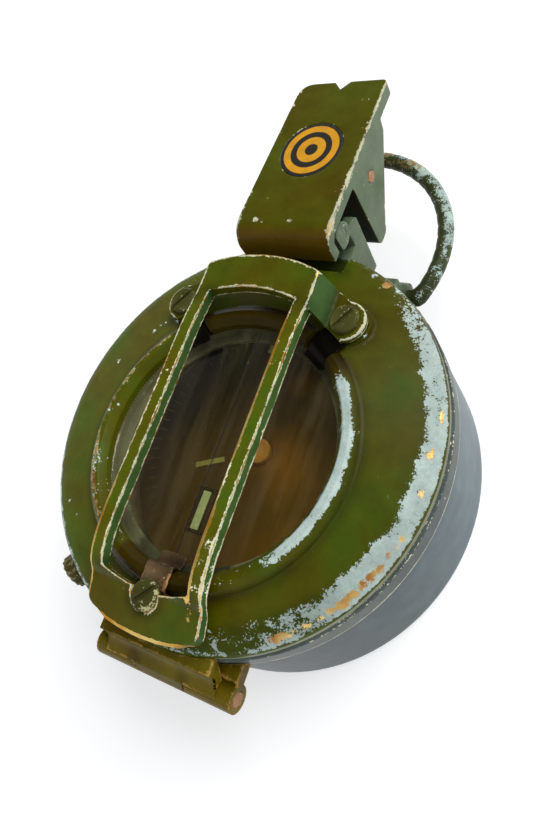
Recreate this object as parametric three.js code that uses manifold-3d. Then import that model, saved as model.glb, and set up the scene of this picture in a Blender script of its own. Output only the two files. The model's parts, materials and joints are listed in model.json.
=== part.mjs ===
// Liquid prismatic compass: a round case with a hinged window lid under a two-bar guard,
// a floating card, a turning direction ring, a swing-out prism unit and a wire thumb bail.
// Units are millimetres. Z is up, Y runs from the lid hinge to the prism, z = 0 is the base.
import * as THREE from 'three';
import { mergeVertices } from 'three/addons/utils/BufferGeometryUtils.js';
import Module from 'manifold-3d';

// Fits and facets
const FIT = 0.1; // gap round a piece that is set into a seat
const RUN = 0.06; // radial gap of a pin that turns in its bore
const PLAY = 0.3; // gap that a moving piece keeps to its neighbour
const ROUND = 56; // facets of the large turned pieces
const INNER_ROUND = 36; // facets of the turned pieces that are hidden inside
const SMALL_ROUND = 20; // facets of pins, screws and knuckles
const WIRE_ROUND = 12; // facets of the bail's wire

// Case and bowl
const CASE_R = 34;
const CASE_WALL = 1.8;
const CASE_FLOOR = 1.8;
const CASE_HEIGHT = 19.3;
const CASE_EDGE = 1.2;
const BOWL_WALL = 1.6;
const BOWL_FLOOR = 1.2;
const CAPSULE_GLASS_T = 1.5;
const GASKET_T = 0.8;
const GASKET_W = 2.4;

// Card and pivot
const CARD_T = 0.5;
const CARD_MARGIN = 3.5; // from the card's edge to the bowl's wall
const CARD_DROP = 2.8; // from the capsule glass down to the card's underside
const MAGNET_L = 28;
const MAGNET_W = 3;
const MAGNET_T = 1.4;
const MAGNET_X = 5;
const JEWEL_R = 2.2;
const JEWEL_RISE = 1.2; // above the card's top
const JEWEL_SKIRT = 0.8; // below the card's underside
const JEWEL_CAP_T = 0.8; // metal over the tip of the cup
const PIVOT_R = 1;
const PIVOT_FOOT_R = 4;
const PIVOT_FOOT_T = 0.8;
const PIVOT_TIP_R = 0.1;
const PIVOT_CONE = 1.9;
const CARD_MARK = [5.6, 0.9, 0.3]; // luminous bar on the card
const CARD_MARK_R = 9.7;
const CARD_MARK_ANGLE = THREE.MathUtils.degToRad(203);

// Band round the case top, and the direction ring that turns in it
const BAND_PROUD = 0.3;
const BAND_H = 4.45;
const BAND_EDGE = 0.4;
const BAND_LIP_T = 1;
const BAND_LIP_W = 1.3;
const RING_INSET = 6.4; // from the case's radius in to the ring's collar
const RING_SKIRT_STEP = 0.8;
const RING_COLLAR_H = 0.9;
const RING_WALL = 3.2;
const RING_GLASS_T = 1.2;
const RING_GLASS_SINK = 0.5;
const RING_SEAT_W = 1.2;
const MILLING_COUNT = 48;
const MILLING_DEPTH = 0.4;
const DIRECTION_STRIP = [1.4, 8, 0.3];

// Clamp screw that locks the direction ring
const CLAMP_ANGLE = THREE.MathUtils.degToRad(-128);
const CLAMP_SHANK_R = 1.1;
const CLAMP_KNOB_R = 2.9;
const CLAMP_KNOB_T = 2.2;
const CLAMP_FLUTES = 14;

// Lid
const LID_GAP = 0.15;
const LID_WALL = 1.8;
const LID_SIDE_H = 1.2;
const LID_ROUND = 2.2;
const DOME_SLOPE = Math.tan(THREE.MathUtils.degToRad(13.5));
const DOME_T = 2;
const WINDOW_INSET = 13.9; // from the case's radius in to the window's edge
const WINDOW_Y = -3; // the window stands nearer to the hinge than to the prism
const WINDOW_RING_W = 3.3;
const WINDOW_RING_H = 1.5; // above the dome beside the window
const LID_GLASS_T = 1.9;
const LID_GLASS_SINK = 2.3; // from the window ring's crest down to the glass
const LID_SEAT_W = 1.4;
const LID_SEAT_T = 0.7;

// Luminous marks under the lid glass
const LUME_HOLDER = [3.2, 7.2, 1.1];
const LUME_STRIP = [1.4, 6.1, 0.6];
const LUME_STRIP_Y = -10.3; // from the window's centre

// Guard over the glass, its clips and screws
const BAR_GAP = 16; // clear width between the two bars
const BAR_W = 2.25;
const BAR_T = 2;
const BAR_RISE = 4.8; // from the window ring's crest up to the bar tops
const BAR_FRONT_BEND = 10; // length of the bend down to the pad
const BAR_REAR_SLOPE = 6; // length of the slope down to the arch
const ARCH_RISE = 4.2;
const ARCH_T = 1.8;
const ARCH_INSET = 7.2; // from the case's radius in to the arch's outer edge
const PAD_RISE = 1.7;
const PAD_SLOPE = Math.tan(THREE.MathUtils.degToRad(19));
const PAD_INSET = 0.6;
const EAR_SLOPE = 2.2;
const EAR_T = 1.1;
const EAR_R = 3.3;
const EAR_LIFT = 1.05; // of the side clips' screwed ends above the glass
const EAR_STANDOFF = 6.6; // from the window's edge out to the ear screws
const EAR_ANGLE = THREE.MathUtils.degToRad(55.3);
const FRONT_STANDOFF = 4.5;
const GUARD_LIFT = 0.35; // daylight between the guard and the window ring's crest
const SIGHT_MARGIN = 0.65; // from the window ring's foot out to the guard's inner edge
const SCREW_HEAD_R = 2.35;
const SCREW_HEAD_T = 1;
const SCREW_SHANK_R = 1.1;
const SCREW_SLOT_W = 0.7;
const SCREW_SLOT_DEPTH = 0.5;
const CLIP_T = 0.45;
const CLIP_W = 5;
const CLIP_REACH = 1.8; // how far the front clip reaches in over the glass
const SIDE_CLIP_REACH = 1.2; // how far a side clip reaches in over the glass
const CLIP_LIFT = 0.05;
const BOSS_R = 3.5;

// Lid hinge
const HINGE_STANDOFF = 2.55; // from the band's face out to the hinge axis
const HINGE_DROP = 4.75; // from the band's top down to the hinge axis
const HINGE_R = 2.2;
const HINGE_PIN_R = 1.2;
const HINGE_LENGTH = 26;
const HINGE_MIDDLE = 9;
const HINGE_LEAF_T = 1.8;
const HINGE_PLATE_W = 21;
const HINGE_WEB_W = 18;
const HINGE_WEB_T = 2;
const HINGE_STRAP_T = 2.2;
const HINGE_STRAP_RISE = 1.9; // strap's top above the hinge axis

// Prism unit, drawn with its leaf level and then tilted about its pivot
const PRISM_PIVOT_STANDOFF = 1; // from the case wall out to the pivot
const PRISM_PIVOT_RISE = 4.45; // from the band's top up to the pivot
const PRISM_TILT = THREE.MathUtils.degToRad(-2.1);
const LEAF_W = 16.6;
const LEAF_FLARE = 0.9; // how far the leaf's left edge stands out at the heel
const LEAF_T = 2.4;
const LEAF_TOP = 4.95;
const LEAF_TIP = 27.9;
const LEAF_CORNER_R = 3;
const NOTCH_W = 3;
const NOTCH_DEPTH = 1.6;
const HEEL_BACK = 4.4;
const HEEL_T = 1.8;
const HEEL_R = 3.8;
const HEEL_DROP = 0.8;
const KNUCKLE_R = 2.3;
const PRISM_PIN_R = 1.1;
const CHEEK_T = 1.8;
const BOX_START = 7.5;
const BOX_WALL = 1.2;
const BOX_TOP_REACH = 21.4;
const BOX_NOSE_REACH = 11;
const BOX_DEPTH = 13; // from the pivot's level down to the nose
const BOX_NOSE_R = 1.4;
const BOX_BACK_START = 0.5;
const PRISM_LEG = 10.4;
const EYE_LENS_R = 3.2;
const EYE_LENS_DROP = 4;
const COVER_T = 0.9;
const RIVET_R = 1;
const RIVET_AT = [13, -1.3];
const RIVET_PROUD = 0.2;
const DISC_R = 5.6;
const DISC_X = -0.7;
const DISC_T = 0.35;
const DISC_AT = 13.3;
const PORT_R = 4.2;

// Prism bracket on the case wall
const CHEEK_FOOT_Z = 14;
const CHEEK_REACH = 4.9; // from the pivot out to the cheek's far edge
const CHEEK_DROP = 1; // from the pivot down to the cheek's far corner
const CHEEK_FOOT_REACH = 3.6;
const BRACKET_WEB_T = 2;

// Bail
const BAIL_WIRE_R = 1.5;
const BAIL_R = 19.4;
const BAIL_OPENING = THREE.MathUtils.degToRad(26); // how far the loop closes past its half circle
const BAIL_Z = 13;
const BAIL_TILT = THREE.MathUtils.degToRad(3.5); // how far the loop rests above level
const BAIL_STANDOFF = 3.6; // from the case wall out to the wire's end
const BAIL_PIN_R = 1.2;
const BAIL_PIN_L = 2.6;
const LUG_R = 2.5;

// Lid notch that the prism's heel stands in
const LID_NOTCH_MARGIN = 1.4; // beside the leaf
const LID_NOTCH_WALL = 1;
const LID_NOTCH_CLEAR = 1.2; // behind the heel when it swings up

// Sizes that follow from these
const BAND_R = CASE_R + BAND_PROUD;
const BAND_TOP = CASE_HEIGHT + BAND_H;
const BOWL_R = CASE_R - CASE_WALL - FIT;
const CAPSULE_GLASS_R = BOWL_R - BOWL_WALL - FIT;
const GASKET_Z = CASE_HEIGHT - CAPSULE_GLASS_T - GASKET_T;
const BOWL_BORE = CAPSULE_GLASS_R - GASKET_W;
const BOWL_FLOOR_Z = CASE_FLOOR + BOWL_FLOOR;
const CARD_Z = CASE_HEIGHT - CAPSULE_GLASS_T - CARD_DROP;
const CARD_R = BOWL_BORE - CARD_MARGIN;
const RING_COLLAR_R = CASE_R - RING_INSET;
const RING_SKIRT_R = RING_COLLAR_R - RING_SKIRT_STEP;
const RING_BORE = RING_SKIRT_R - RING_WALL;
const RING_COLLAR_Z = BAND_TOP + PLAY;
const RING_TOP = RING_COLLAR_Z + RING_COLLAR_H;
const RING_GLASS_Z = RING_TOP - RING_GLASS_SINK - RING_GLASS_T;
const LID_Z = BAND_TOP + LID_GAP;
const WINDOW_R = CASE_R - WINDOW_INSET;
const WINDOW_FOOT_R = WINDOW_R + WINDOW_RING_W;
const domeZ = (r) => LID_Z + LID_SIDE_H + (CASE_R - r) * DOME_SLOPE + LID_ROUND / 2;
const CREST_Z = domeZ(WINDOW_FOOT_R) + WINDOW_RING_H;
const LID_GLASS_TOP = CREST_Z - LID_GLASS_SINK;
const LID_GLASS_Z = LID_GLASS_TOP - LID_GLASS_T;
const CLIP_Z = LID_GLASS_TOP + CLIP_LIFT;
const EAR_CLIP_Z = CLIP_Z + EAR_LIFT;
const EAR_Z = EAR_CLIP_Z + CLIP_T;
const HINGE_Y = -(BAND_R + HINGE_STANDOFF);
const HINGE_Z = BAND_TOP - HINGE_DROP;
const PIVOT_Y = CASE_R + PRISM_PIVOT_STANDOFF;
const PIVOT_Z = BAND_TOP + PRISM_PIVOT_RISE;
const LEAF_UNDER = LEAF_TOP - LEAF_T;

const wasm = await Module();
wasm.setup();

// Turn a closed three.js geometry into a solid whose faces point outwards.
function solid(geometry) {
  const bare = geometry.index ? geometry.toNonIndexed() : geometry.clone();
  bare.deleteAttribute('normal');
  bare.deleteAttribute('uv');
  const merged = mergeVertices(bare, 1e-4);
  const at = merged.attributes.position.array;
  const triangles = [];
  let volume = 0;
  for (let i = 0; i < merged.index.count; i += 3) {
    const [a, b, c] = [0, 1, 2].map((k) => merged.index.array[i + k]);
    if (a === b || b === c || a === c) continue;
    triangles.push(a, b, c);
    const corner = (k) => new THREE.Vector3(at[3 * k], at[3 * k + 1], at[3 * k + 2]);
    volume += corner(a).dot(corner(b).cross(corner(c)));
  }
  if (volume < 0) triangles.reverse();
  return new wasm.Manifold(new wasm.Mesh({
    numProp: 3,
    vertProperties: new Float32Array(at),
    triVerts: new Uint32Array(triangles),
  }));
}

// Give a solid back as a three.js geometry.
function geometryOf(body) {
  const mesh = body.getMesh();
  const geometry = new THREE.BufferGeometry();
  geometry.setAttribute('position', new THREE.BufferAttribute(mesh.vertProperties, 3));
  geometry.setIndex(new THREE.BufferAttribute(mesh.triVerts, 1));
  return geometry;
}

// Turned piece from a closed profile of [radius, height] points.
function turned(profile, facets = ROUND) {
  const closed = [...profile, profile[0]].map(([r, z]) => new THREE.Vector2(r, z));
  return solid(new THREE.LatheGeometry(closed, facets).rotateX(Math.PI / 2));
}

// Plain ring or disc between two radii and two heights.
function disc(outer, bottom, top, inner = 0, facets = ROUND) {
  return turned([[inner, bottom], [outer, bottom], [outer, top], [inner, top]], facets);
}

function block(x0, x1, y0, y1, z0, z1) {
  const box = new THREE.BoxGeometry(x1 - x0, y1 - y0, z1 - z0);
  return solid(box.translate((x0 + x1) / 2, (y0 + y1) / 2, (z0 + z1) / 2));
}

// Outline in plan, raised from one height to another.
function raised(shape, bottom, top, curveSegments = 8) {
  const options = { depth: top - bottom, bevelEnabled: false, curveSegments };
  return solid(new THREE.ExtrudeGeometry(shape, options).translate(0, 0, bottom));
}

// Outline in side view (y, z), extruded across from x0 to x1.
function across(shape, x0, x1, curveSegments = 6) {
  const options = { depth: x1 - x0, bevelEnabled: false, curveSegments };
  const turn = new THREE.Matrix4().makeBasis(
    new THREE.Vector3(0, 1, 0), new THREE.Vector3(0, 0, 1), new THREE.Vector3(1, 0, 0));
  return solid(new THREE.ExtrudeGeometry(shape, options).applyMatrix4(turn).translate(x0, 0, 0));
}

const outline = (points) => new THREE.Shape(points.map(([a, b]) => new THREE.Vector2(a, b)));

// Upright pin at a place in plan, and a pin lying across at a place in side view.
function upright(r, x, y, z0, z1, facets = SMALL_ROUND) {
  const pin = new THREE.CylinderGeometry(r, r, z1 - z0, facets).rotateX(Math.PI / 2);
  return solid(pin.translate(x, y, (z0 + z1) / 2));
}

function crosswise(r, y, z, x0, x1, facets = SMALL_ROUND) {
  const pin = new THREE.CylinderGeometry(r, r, x1 - x0, facets).rotateZ(Math.PI / 2);
  return solid(pin.translate((x0 + x1) / 2, y, z));
}

// Leaf spring bent along a side-view path of points on its lower face.
function bentStrip(path, thickness, width) {
  const lower = path.map(([y, z]) => new THREE.Vector2(y, z));
  const upper = lower.map((point, i) => {
    const before = lower[Math.max(i - 1, 0)];
    const after = lower[Math.min(i + 1, lower.length - 1)];
    const into = i > 0 ? point.clone().sub(before).normalize() : after.clone().sub(point).normalize();
    const out = i < lower.length - 1 ? after.clone().sub(point).normalize() : into;
    const mitre = new THREE.Vector2(-into.y - out.y, into.x + out.x).normalize();
    const stretch = thickness / mitre.dot(new THREE.Vector2(-into.y, into.x));
    return point.clone().addScaledVector(mitre, stretch);
  });
  return across(new THREE.Shape([...lower, ...upper.reverse()]), -width / 2, width / 2);
}

// Wheel outline whose edge is cut by even V flutes.
function flutedOutline(r, depth, count) {
  const points = [];
  for (let i = 0; i < 2 * count; i += 1) {
    const angle = (Math.PI * i) / count;
    const reach = i % 2 ? r - depth : r;
    points.push([reach * Math.cos(angle), reach * Math.sin(angle)]);
  }
  return outline(points);
}

const paint = (color) => new THREE.MeshStandardMaterial({ color, roughness: 0.55, metalness: 0.2 });
const metal = (color) => new THREE.MeshStandardMaterial({ color, roughness: 0.4, metalness: 0.9 });
const clear = (color) => new THREE.MeshStandardMaterial({ color, roughness: 0.05, metalness: 0 });
const flat = (color) => new THREE.MeshStandardMaterial({ color, roughness: 0.8, metalness: 0 });
const OLIVE = paint(0x55601a);
const GREY_GREEN = paint(0x73826e);
const BRONZE = metal(0x4a3a22);
const COPPER = metal(0xb87a58);
const STEEL = metal(0x8a8c8e);
const GLASS = clear(0x8a7a58);
const LUME = flat(0x9ab884);
const BLACK = flat(0x1b1b1a);
const CARD = flat(0xd8d4c4);
const AMBER = flat(0xd79600);

const compass = new THREE.Group();
const prismUnit = new THREE.Group();
prismUnit.position.set(0, PIVOT_Y, PIVOT_Z);
prismUnit.rotation.x = PRISM_TILT;
compass.add(prismUnit);

function add(name, body, material, group = compass) {
  const mesh = new THREE.Mesh(geometryOf(body), material);
  mesh.name = name;
  group.add(mesh);
  return mesh;
}

// Case: a plain turned tub with a flat base.
add('case_body', turned([
  [0, 0], [CASE_R - CASE_EDGE, 0], [CASE_R - CASE_EDGE * 0.3, CASE_EDGE * 0.3], [CASE_R, CASE_EDGE],
  [CASE_R, CASE_HEIGHT], [CASE_R - CASE_WALL, CASE_HEIGHT], [CASE_R - CASE_WALL, CASE_FLOOR], [0, CASE_FLOOR],
]), GREY_GREEN);

// Bowl: holds the liquid and carries the capsule glass on a gasket.
add('bowl', turned([
  [0, CASE_FLOOR], [BOWL_R, CASE_FLOOR], [BOWL_R, CASE_HEIGHT], [BOWL_R - BOWL_WALL, CASE_HEIGHT],
  [BOWL_R - BOWL_WALL, GASKET_Z], [BOWL_BORE, GASKET_Z], [BOWL_BORE, BOWL_FLOOR_Z], [0, BOWL_FLOOR_Z],
], INNER_ROUND), BLACK);
add('capsule_gasket', disc(CAPSULE_GLASS_R, GASKET_Z, GASKET_Z + GASKET_T, BOWL_BORE, INNER_ROUND), BLACK);
add('capsule_glass', disc(CAPSULE_GLASS_R, GASKET_Z + GASKET_T, CASE_HEIGHT, 0, INNER_ROUND), GLASS);

// Pivot post with a needle tip, and the card that swings on it.
const JEWEL_TOP = CARD_Z + CARD_T + JEWEL_RISE;
const CUP_TOP = JEWEL_TOP - JEWEL_CAP_T;
const PIVOT_TIP_Z = CUP_TOP - PLAY;
const PIVOT_NECK_Z = PIVOT_TIP_Z - PIVOT_CONE;
add('pivot_post', turned([
  [0, BOWL_FLOOR_Z], [PIVOT_FOOT_R, BOWL_FLOOR_Z], [PIVOT_FOOT_R, BOWL_FLOOR_Z + PIVOT_FOOT_T],
  [PIVOT_R, BOWL_FLOOR_Z + PIVOT_FOOT_T], [PIVOT_R, PIVOT_NECK_Z], [PIVOT_TIP_R, PIVOT_TIP_Z], [0, PIVOT_TIP_Z],
], SMALL_ROUND), STEEL);
add('compass_card', disc(CARD_R, CARD_Z, CARD_Z + CARD_T, JEWEL_R + FIT), CARD);
add('jewel_cap', turned([
  [PIVOT_R + PLAY, CARD_Z - JEWEL_SKIRT], [JEWEL_R, CARD_Z - JEWEL_SKIRT], [JEWEL_R, JEWEL_TOP - FIT],
  [JEWEL_R - PLAY, JEWEL_TOP], [0, JEWEL_TOP], [0, CUP_TOP], [PIVOT_TIP_R + PLAY, CUP_TOP - FIT],
  [PIVOT_R + PLAY, CARD_Z],
], SMALL_ROUND), COPPER);
for (const [name, side] of [['magnet_left', -1], ['magnet_right', 1]]) {
  const x = side * MAGNET_X;
  add(name, block(x - MAGNET_W / 2, x + MAGNET_W / 2, -MAGNET_L / 2, MAGNET_L / 2, CARD_Z - MAGNET_T, CARD_Z), STEEL);
}

const [markL, markW, markT] = CARD_MARK;
add('card_mark', block(CARD_MARK_R - markL / 2, CARD_MARK_R + markL / 2, -markW / 2, markW / 2,
  CARD_Z + CARD_T, CARD_Z + CARD_T + markT).rotate([0, 0, THREE.MathUtils.radToDeg(CARD_MARK_ANGLE)]), LUME);

// Band: clamps the capsule glass and guides the direction ring; the clamp screw passes through it.
const clampTurn = new THREE.Matrix4().makeRotationZ(CLAMP_ANGLE);
const CLAMP_Z = CASE_HEIGHT + BAND_H / 2;
const hingeRelief = crosswise(HINGE_R + PLAY, HINGE_Y, HINGE_Z, -HINGE_LENGTH / 2 - PLAY, HINGE_LENGTH / 2 + PLAY);
const BAND_BORE = RING_SKIRT_R + PLAY;
const clampBore = solid(new THREE.CylinderGeometry(CLAMP_SHANK_R + RUN, CLAMP_SHANK_R + RUN, BAND_R, SMALL_ROUND)
  .rotateZ(Math.PI / 2).translate(BAND_R, 0, CLAMP_Z).applyMatrix4(clampTurn));
add('bezel_ring', turned([
  [BAND_BORE - BAND_LIP_W, CASE_HEIGHT], [BAND_R - BAND_EDGE, CASE_HEIGHT], [BAND_R, CASE_HEIGHT + BAND_EDGE],
  [BAND_R, BAND_TOP - BAND_EDGE], [BAND_R - BAND_EDGE, BAND_TOP], [BAND_BORE, BAND_TOP],
  [BAND_BORE, CASE_HEIGHT + BAND_LIP_T], [BAND_BORE - BAND_LIP_W, CASE_HEIGHT + BAND_LIP_T],
]).subtract(hingeRelief).subtract(clampBore), GREY_GREEN);

// Clamp screw: a fluted knob whose shank presses on the direction ring.
const knobOutline = flutedOutline(CLAMP_KNOB_R, CLAMP_KNOB_R * 0.1, CLAMP_FLUTES);
const knob = solid(new THREE.ExtrudeGeometry(knobOutline, { depth: CLAMP_KNOB_T, bevelEnabled: false })
  .rotateY(Math.PI / 2).translate(BAND_R + PLAY, 0, CLAMP_Z).applyMatrix4(clampTurn));
const CLAMP_SHANK_L = BAND_R + PLAY + CLAMP_KNOB_T / 2 - RING_SKIRT_R - PLAY;
const clampShank = solid(new THREE.CylinderGeometry(CLAMP_SHANK_R, CLAMP_SHANK_R, CLAMP_SHANK_L, SMALL_ROUND)
  .rotateZ(Math.PI / 2).translate(RING_SKIRT_R + PLAY + CLAMP_SHANK_L / 2, 0, CLAMP_Z).applyMatrix4(clampTurn));
add('clamp_screw', knob.add(clampShank), OLIVE);

// Direction ring: a skirt in the band, a milled collar above it, and its own glass.
const RING_SKIRT_Z = CASE_HEIGHT + BAND_LIP_T + FIT;
const collar = raised(flutedOutline(RING_COLLAR_R, MILLING_DEPTH, MILLING_COUNT), RING_COLLAR_Z, RING_TOP);
const ringSeat = disc(RING_BORE + RING_SEAT_W, RING_GLASS_Z, RING_TOP + 1, 0, INNER_ROUND);
const ringBore = disc(RING_BORE, RING_SKIRT_Z - 1, RING_TOP + 1, 0, INNER_ROUND);
add('direction_ring', disc(RING_SKIRT_R, RING_SKIRT_Z, RING_COLLAR_Z + RING_COLLAR_H / 2)
  .add(collar).subtract(ringBore).subtract(ringSeat), BLACK);
add('direction_glass', disc(RING_BORE + RING_SEAT_W - FIT, RING_GLASS_Z, RING_GLASS_Z + RING_GLASS_T, 0, INNER_ROUND), GLASS);
const [stripW, stripL, stripT] = DIRECTION_STRIP;
const STRIP_END = RING_BORE - 2 * FIT - stripT;
add('direction_strip', block(-stripW / 2, stripW / 2, STRIP_END - stripL, STRIP_END,
  RING_GLASS_Z - stripT, RING_GLASS_Z), LUME);

// Lid: turned dome with a rounded edge, and a raised ring round the window that stands off centre.
const DOME_START_R = CASE_R - LID_ROUND;
const lidEdge = new THREE.QuadraticBezierCurve(
  new THREE.Vector2(CASE_R, LID_Z + LID_SIDE_H), new THREE.Vector2(CASE_R, domeZ(CASE_R)),
  new THREE.Vector2(DOME_START_R, domeZ(DOME_START_R))).getPoints(3).map((p) => [p.x, p.y]);
const lidFace = [[CASE_R - LID_GAP, LID_Z], [CASE_R, LID_Z + LID_GAP], ...lidEdge, [0, domeZ(0)]];
const LID_BORE = CASE_R - LID_WALL;
const dome = turned([...lidFace, [0, domeZ(0) - DOME_T], [LID_BORE, domeZ(LID_BORE) - DOME_T], [LID_BORE, LID_Z]]);
const lidEnvelope = turned([[0, LID_Z], ...lidFace]);
const atWindow = (body) => body.translate([0, WINDOW_Y, 0]);
const LID_SEAT_Z = LID_GLASS_Z - LID_SEAT_T;
const crestRound = WINDOW_RING_W * 0.25;
const windowRing = atWindow(turned([
  [WINDOW_FOOT_R, LID_SEAT_Z], [WINDOW_FOOT_R, CREST_Z - 2 * crestRound],
  [WINDOW_FOOT_R - 0.5 * crestRound, CREST_Z - 0.8 * crestRound], [WINDOW_FOOT_R - 1.6 * crestRound, CREST_Z],
  [WINDOW_R + 1.2 * crestRound, CREST_Z], [WINDOW_R, CREST_Z - 1.4 * crestRound], [WINDOW_R, LID_GLASS_Z],
  [WINDOW_R - LID_SEAT_W, LID_GLASS_Z], [WINDOW_R - LID_SEAT_W, LID_SEAT_Z],
]));
const windowHole = atWindow(disc(WINDOW_FOOT_R - crestRound, 0, 2 * CREST_Z));

// The notch takes the prism's heel, and walls close the lid's hollow round it.
const NOTCH_X = LEAF_W / 2 + LID_NOTCH_MARGIN;
const NOTCH_Y = PIVOT_Y - LEAF_TOP - LID_NOTCH_CLEAR + FIT;
const BEYOND = 2 * CASE_R;
const notchWalls = block(-NOTCH_X - LID_NOTCH_WALL, NOTCH_X + LID_NOTCH_WALL,
  NOTCH_Y - LID_NOTCH_WALL, BEYOND, LID_Z - 1, BEYOND).intersect(lidEnvelope);
const notchCut = block(-NOTCH_X, NOTCH_X, NOTCH_Y, BEYOND, 0, BEYOND);

// Screw places: two ears at the prism end, one pad screw at the hinge end.
const EAR_CIRCLE_R = WINDOW_R + EAR_STANDOFF;
const EAR_X = EAR_CIRCLE_R * Math.cos(EAR_ANGLE);
const EAR_Y = WINDOW_Y + EAR_CIRCLE_R * Math.sin(EAR_ANGLE);
const FRONT_R = WINDOW_R + FRONT_STANDOFF;
const FRONT_Y = WINDOW_Y - FRONT_R;
const screwPlaces = [['left', -EAR_X, EAR_Y], ['right', EAR_X, EAR_Y], ['front', 0, FRONT_Y]];
const screwEndZ = (x, y) => domeZ(Math.hypot(x, y)) - DOME_T;
const screwHoles = screwPlaces.map(([, x, y]) => upright(SCREW_SHANK_R + FIT, x, y, screwEndZ(x, y) - DOME_T, BEYOND));
const bosses = screwPlaces.map(([place, x, y]) =>
  upright(BOSS_R, x, y, screwEndZ(x, y) + DOME_T / 2, place === 'front' ? CLIP_Z : EAR_CLIP_Z));

// Clips: leaf springs bent in side view from the screw in to the glass, then turned to their screws.
const FRONT_CLIP_END = FRONT_R + BOSS_R - 1;
const CLIP_RISE_Y = -(WINDOW_FOOT_R + FIT);
const CLIP_FALL_Y = -(WINDOW_R - 2 * FIT - CLIP_T);
const CLIP_TOP = CREST_Z + FIT;
const SIDE_CLIP_END = EAR_CIRCLE_R + BOSS_R - 1;
const SIDE_BEND_Y = -(WINDOW_R + EAR_LIFT);
const sideClip = bentStrip([
  [-SIDE_CLIP_END, EAR_CLIP_Z], [SIDE_BEND_Y, EAR_CLIP_Z], [-(WINDOW_R - FIT), CLIP_Z],
  [-(WINDOW_R - SIDE_CLIP_REACH), CLIP_Z],
], CLIP_T, CLIP_W);
const CLIP_ROOM = CLIP_W / 2 + 2 * FIT;
const sideRoom = block(-CLIP_ROOM, CLIP_ROOM, -SIDE_CLIP_END - FIT, -WINDOW_R + CLIP_REACH, EAR_CLIP_Z, BEYOND)
  .add(block(-CLIP_ROOM, CLIP_ROOM, SIDE_BEND_Y - FIT, -WINDOW_R + CLIP_REACH, CLIP_Z, BEYOND));
const frontRoom = atWindow(block(-CLIP_ROOM, CLIP_ROOM, -FRONT_CLIP_END - FIT,
  CLIP_RISE_Y + FIT / 2, CLIP_Z, BEYOND));
const earTurn = 90 + THREE.MathUtils.radToDeg(EAR_ANGLE);
const toEar = (body, side) => atWindow(body.rotate([0, 0, side > 0 ? earTurn : -earTurn]));

let lid = dome.add(notchWalls).subtract(windowHole).add(windowRing).subtract(notchCut);
for (const boss of bosses) lid = lid.add(boss.subtract(windowHole));
for (const cut of [toEar(sideRoom, -1), toEar(sideRoom, 1), frontRoom, ...screwHoles]) lid = lid.subtract(cut);
add('lid_shell', lid, OLIVE);
add('lid_glass', atWindow(disc(WINDOW_R - FIT, LID_GLASS_Z, LID_GLASS_TOP)), GLASS);

// Luminous mark on the underside of the lid glass, along its hairline.
const [holderW, holderL, holderT] = LUME_HOLDER;
const [tubeW, tubeL, tubeT] = LUME_STRIP;
const underGlass = (width, length, depth) => atWindow(block(-width / 2, width / 2,
  LUME_STRIP_Y - length / 2, LUME_STRIP_Y + length / 2, LID_GLASS_Z - depth, LID_GLASS_Z));
add('lume_holder', underGlass(holderW, holderL, holderT)
  .subtract(underGlass(tubeW + 2 * FIT, tubeL + 2 * FIT, tubeT + FIT)), BLACK);
add('lume_strip', underGlass(tubeW, tubeL, tubeT), LUME);

for (const [name, side] of [['glass_clip_left', -1], ['glass_clip_right', 1]]) {
  let clip = toEar(sideClip, side);
  for (const hole of screwHoles) clip = clip.subtract(hole);
  add(name, clip, BRONZE);
}
add('glass_clip_front', atWindow(bentStrip([
  [-FRONT_CLIP_END, CLIP_Z], [CLIP_RISE_Y, CLIP_Z], [CLIP_RISE_Y, CLIP_TOP - CLIP_T],
  [CLIP_RISE_Y + CLIP_T, CLIP_TOP], [CLIP_FALL_Y - CLIP_T, CLIP_TOP], [CLIP_FALL_Y - CLIP_T, CLIP_Z + CLIP_T],
  [CLIP_FALL_Y, CLIP_Z], [CLIP_FALL_Y + CLIP_REACH, CLIP_Z],
], CLIP_T, CLIP_W)).subtract(screwHoles[2]), BRONZE);

// Guard: a bowed strip in side view, opened over the window into two bars, with an arch and two ears.
const BAR_X = BAR_GAP / 2;
const BAR_OUT_X = BAR_X + BAR_W;
const PAD_R = CASE_R - PAD_INSET;
const ARCH_R = CASE_R - ARCH_INSET;
const SIGHT_R = WINDOW_FOOT_R + SIGHT_MARGIN;
const ARCH_TOP = CREST_Z + ARCH_RISE;
const BAR_TOP = CREST_Z + BAR_RISE;
const PAD_TOP = CREST_Z + PAD_RISE;
const PAD_Y = WINDOW_Y - SIGHT_R;
const ARCH_Y = WINDOW_Y + Math.sqrt(SIGHT_R ** 2 - BAR_X ** 2);
const padZ = (y) => PAD_TOP + (y - PAD_Y) * PAD_SLOPE;
const frontBend = new THREE.QuadraticBezierCurve(
  new THREE.Vector2(PAD_Y, PAD_TOP), new THREE.Vector2(PAD_Y + BAR_FRONT_BEND * 0.14, BAR_TOP - FIT),
  new THREE.Vector2(PAD_Y + BAR_FRONT_BEND, BAR_TOP)).getPoints(5).map((p) => [p.x, p.y]);
const guardLine = [
  [-PAD_R - 1, padZ(-PAD_R - 1)], ...frontBend,
  [ARCH_Y - BAR_REAR_SLOPE, BAR_TOP], [ARCH_Y, ARCH_TOP], [ARCH_Y + BAR_W, ARCH_TOP],
];
const guardUnder = guardLine.map(([y, z]) => [y, z - BAR_T]).reverse();
const guardSlab = across(outline([...guardLine, ...guardUnder]), -BAR_OUT_X, BAR_OUT_X);
const sight = atWindow(disc(SIGHT_R, 0, BEYOND)).intersect(block(-BAR_X, BAR_X, -BEYOND, BEYOND, 0, BEYOND));
const strip = guardSlab.subtract(sight).intersect(disc(PAD_R, 0, BEYOND));

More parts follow.
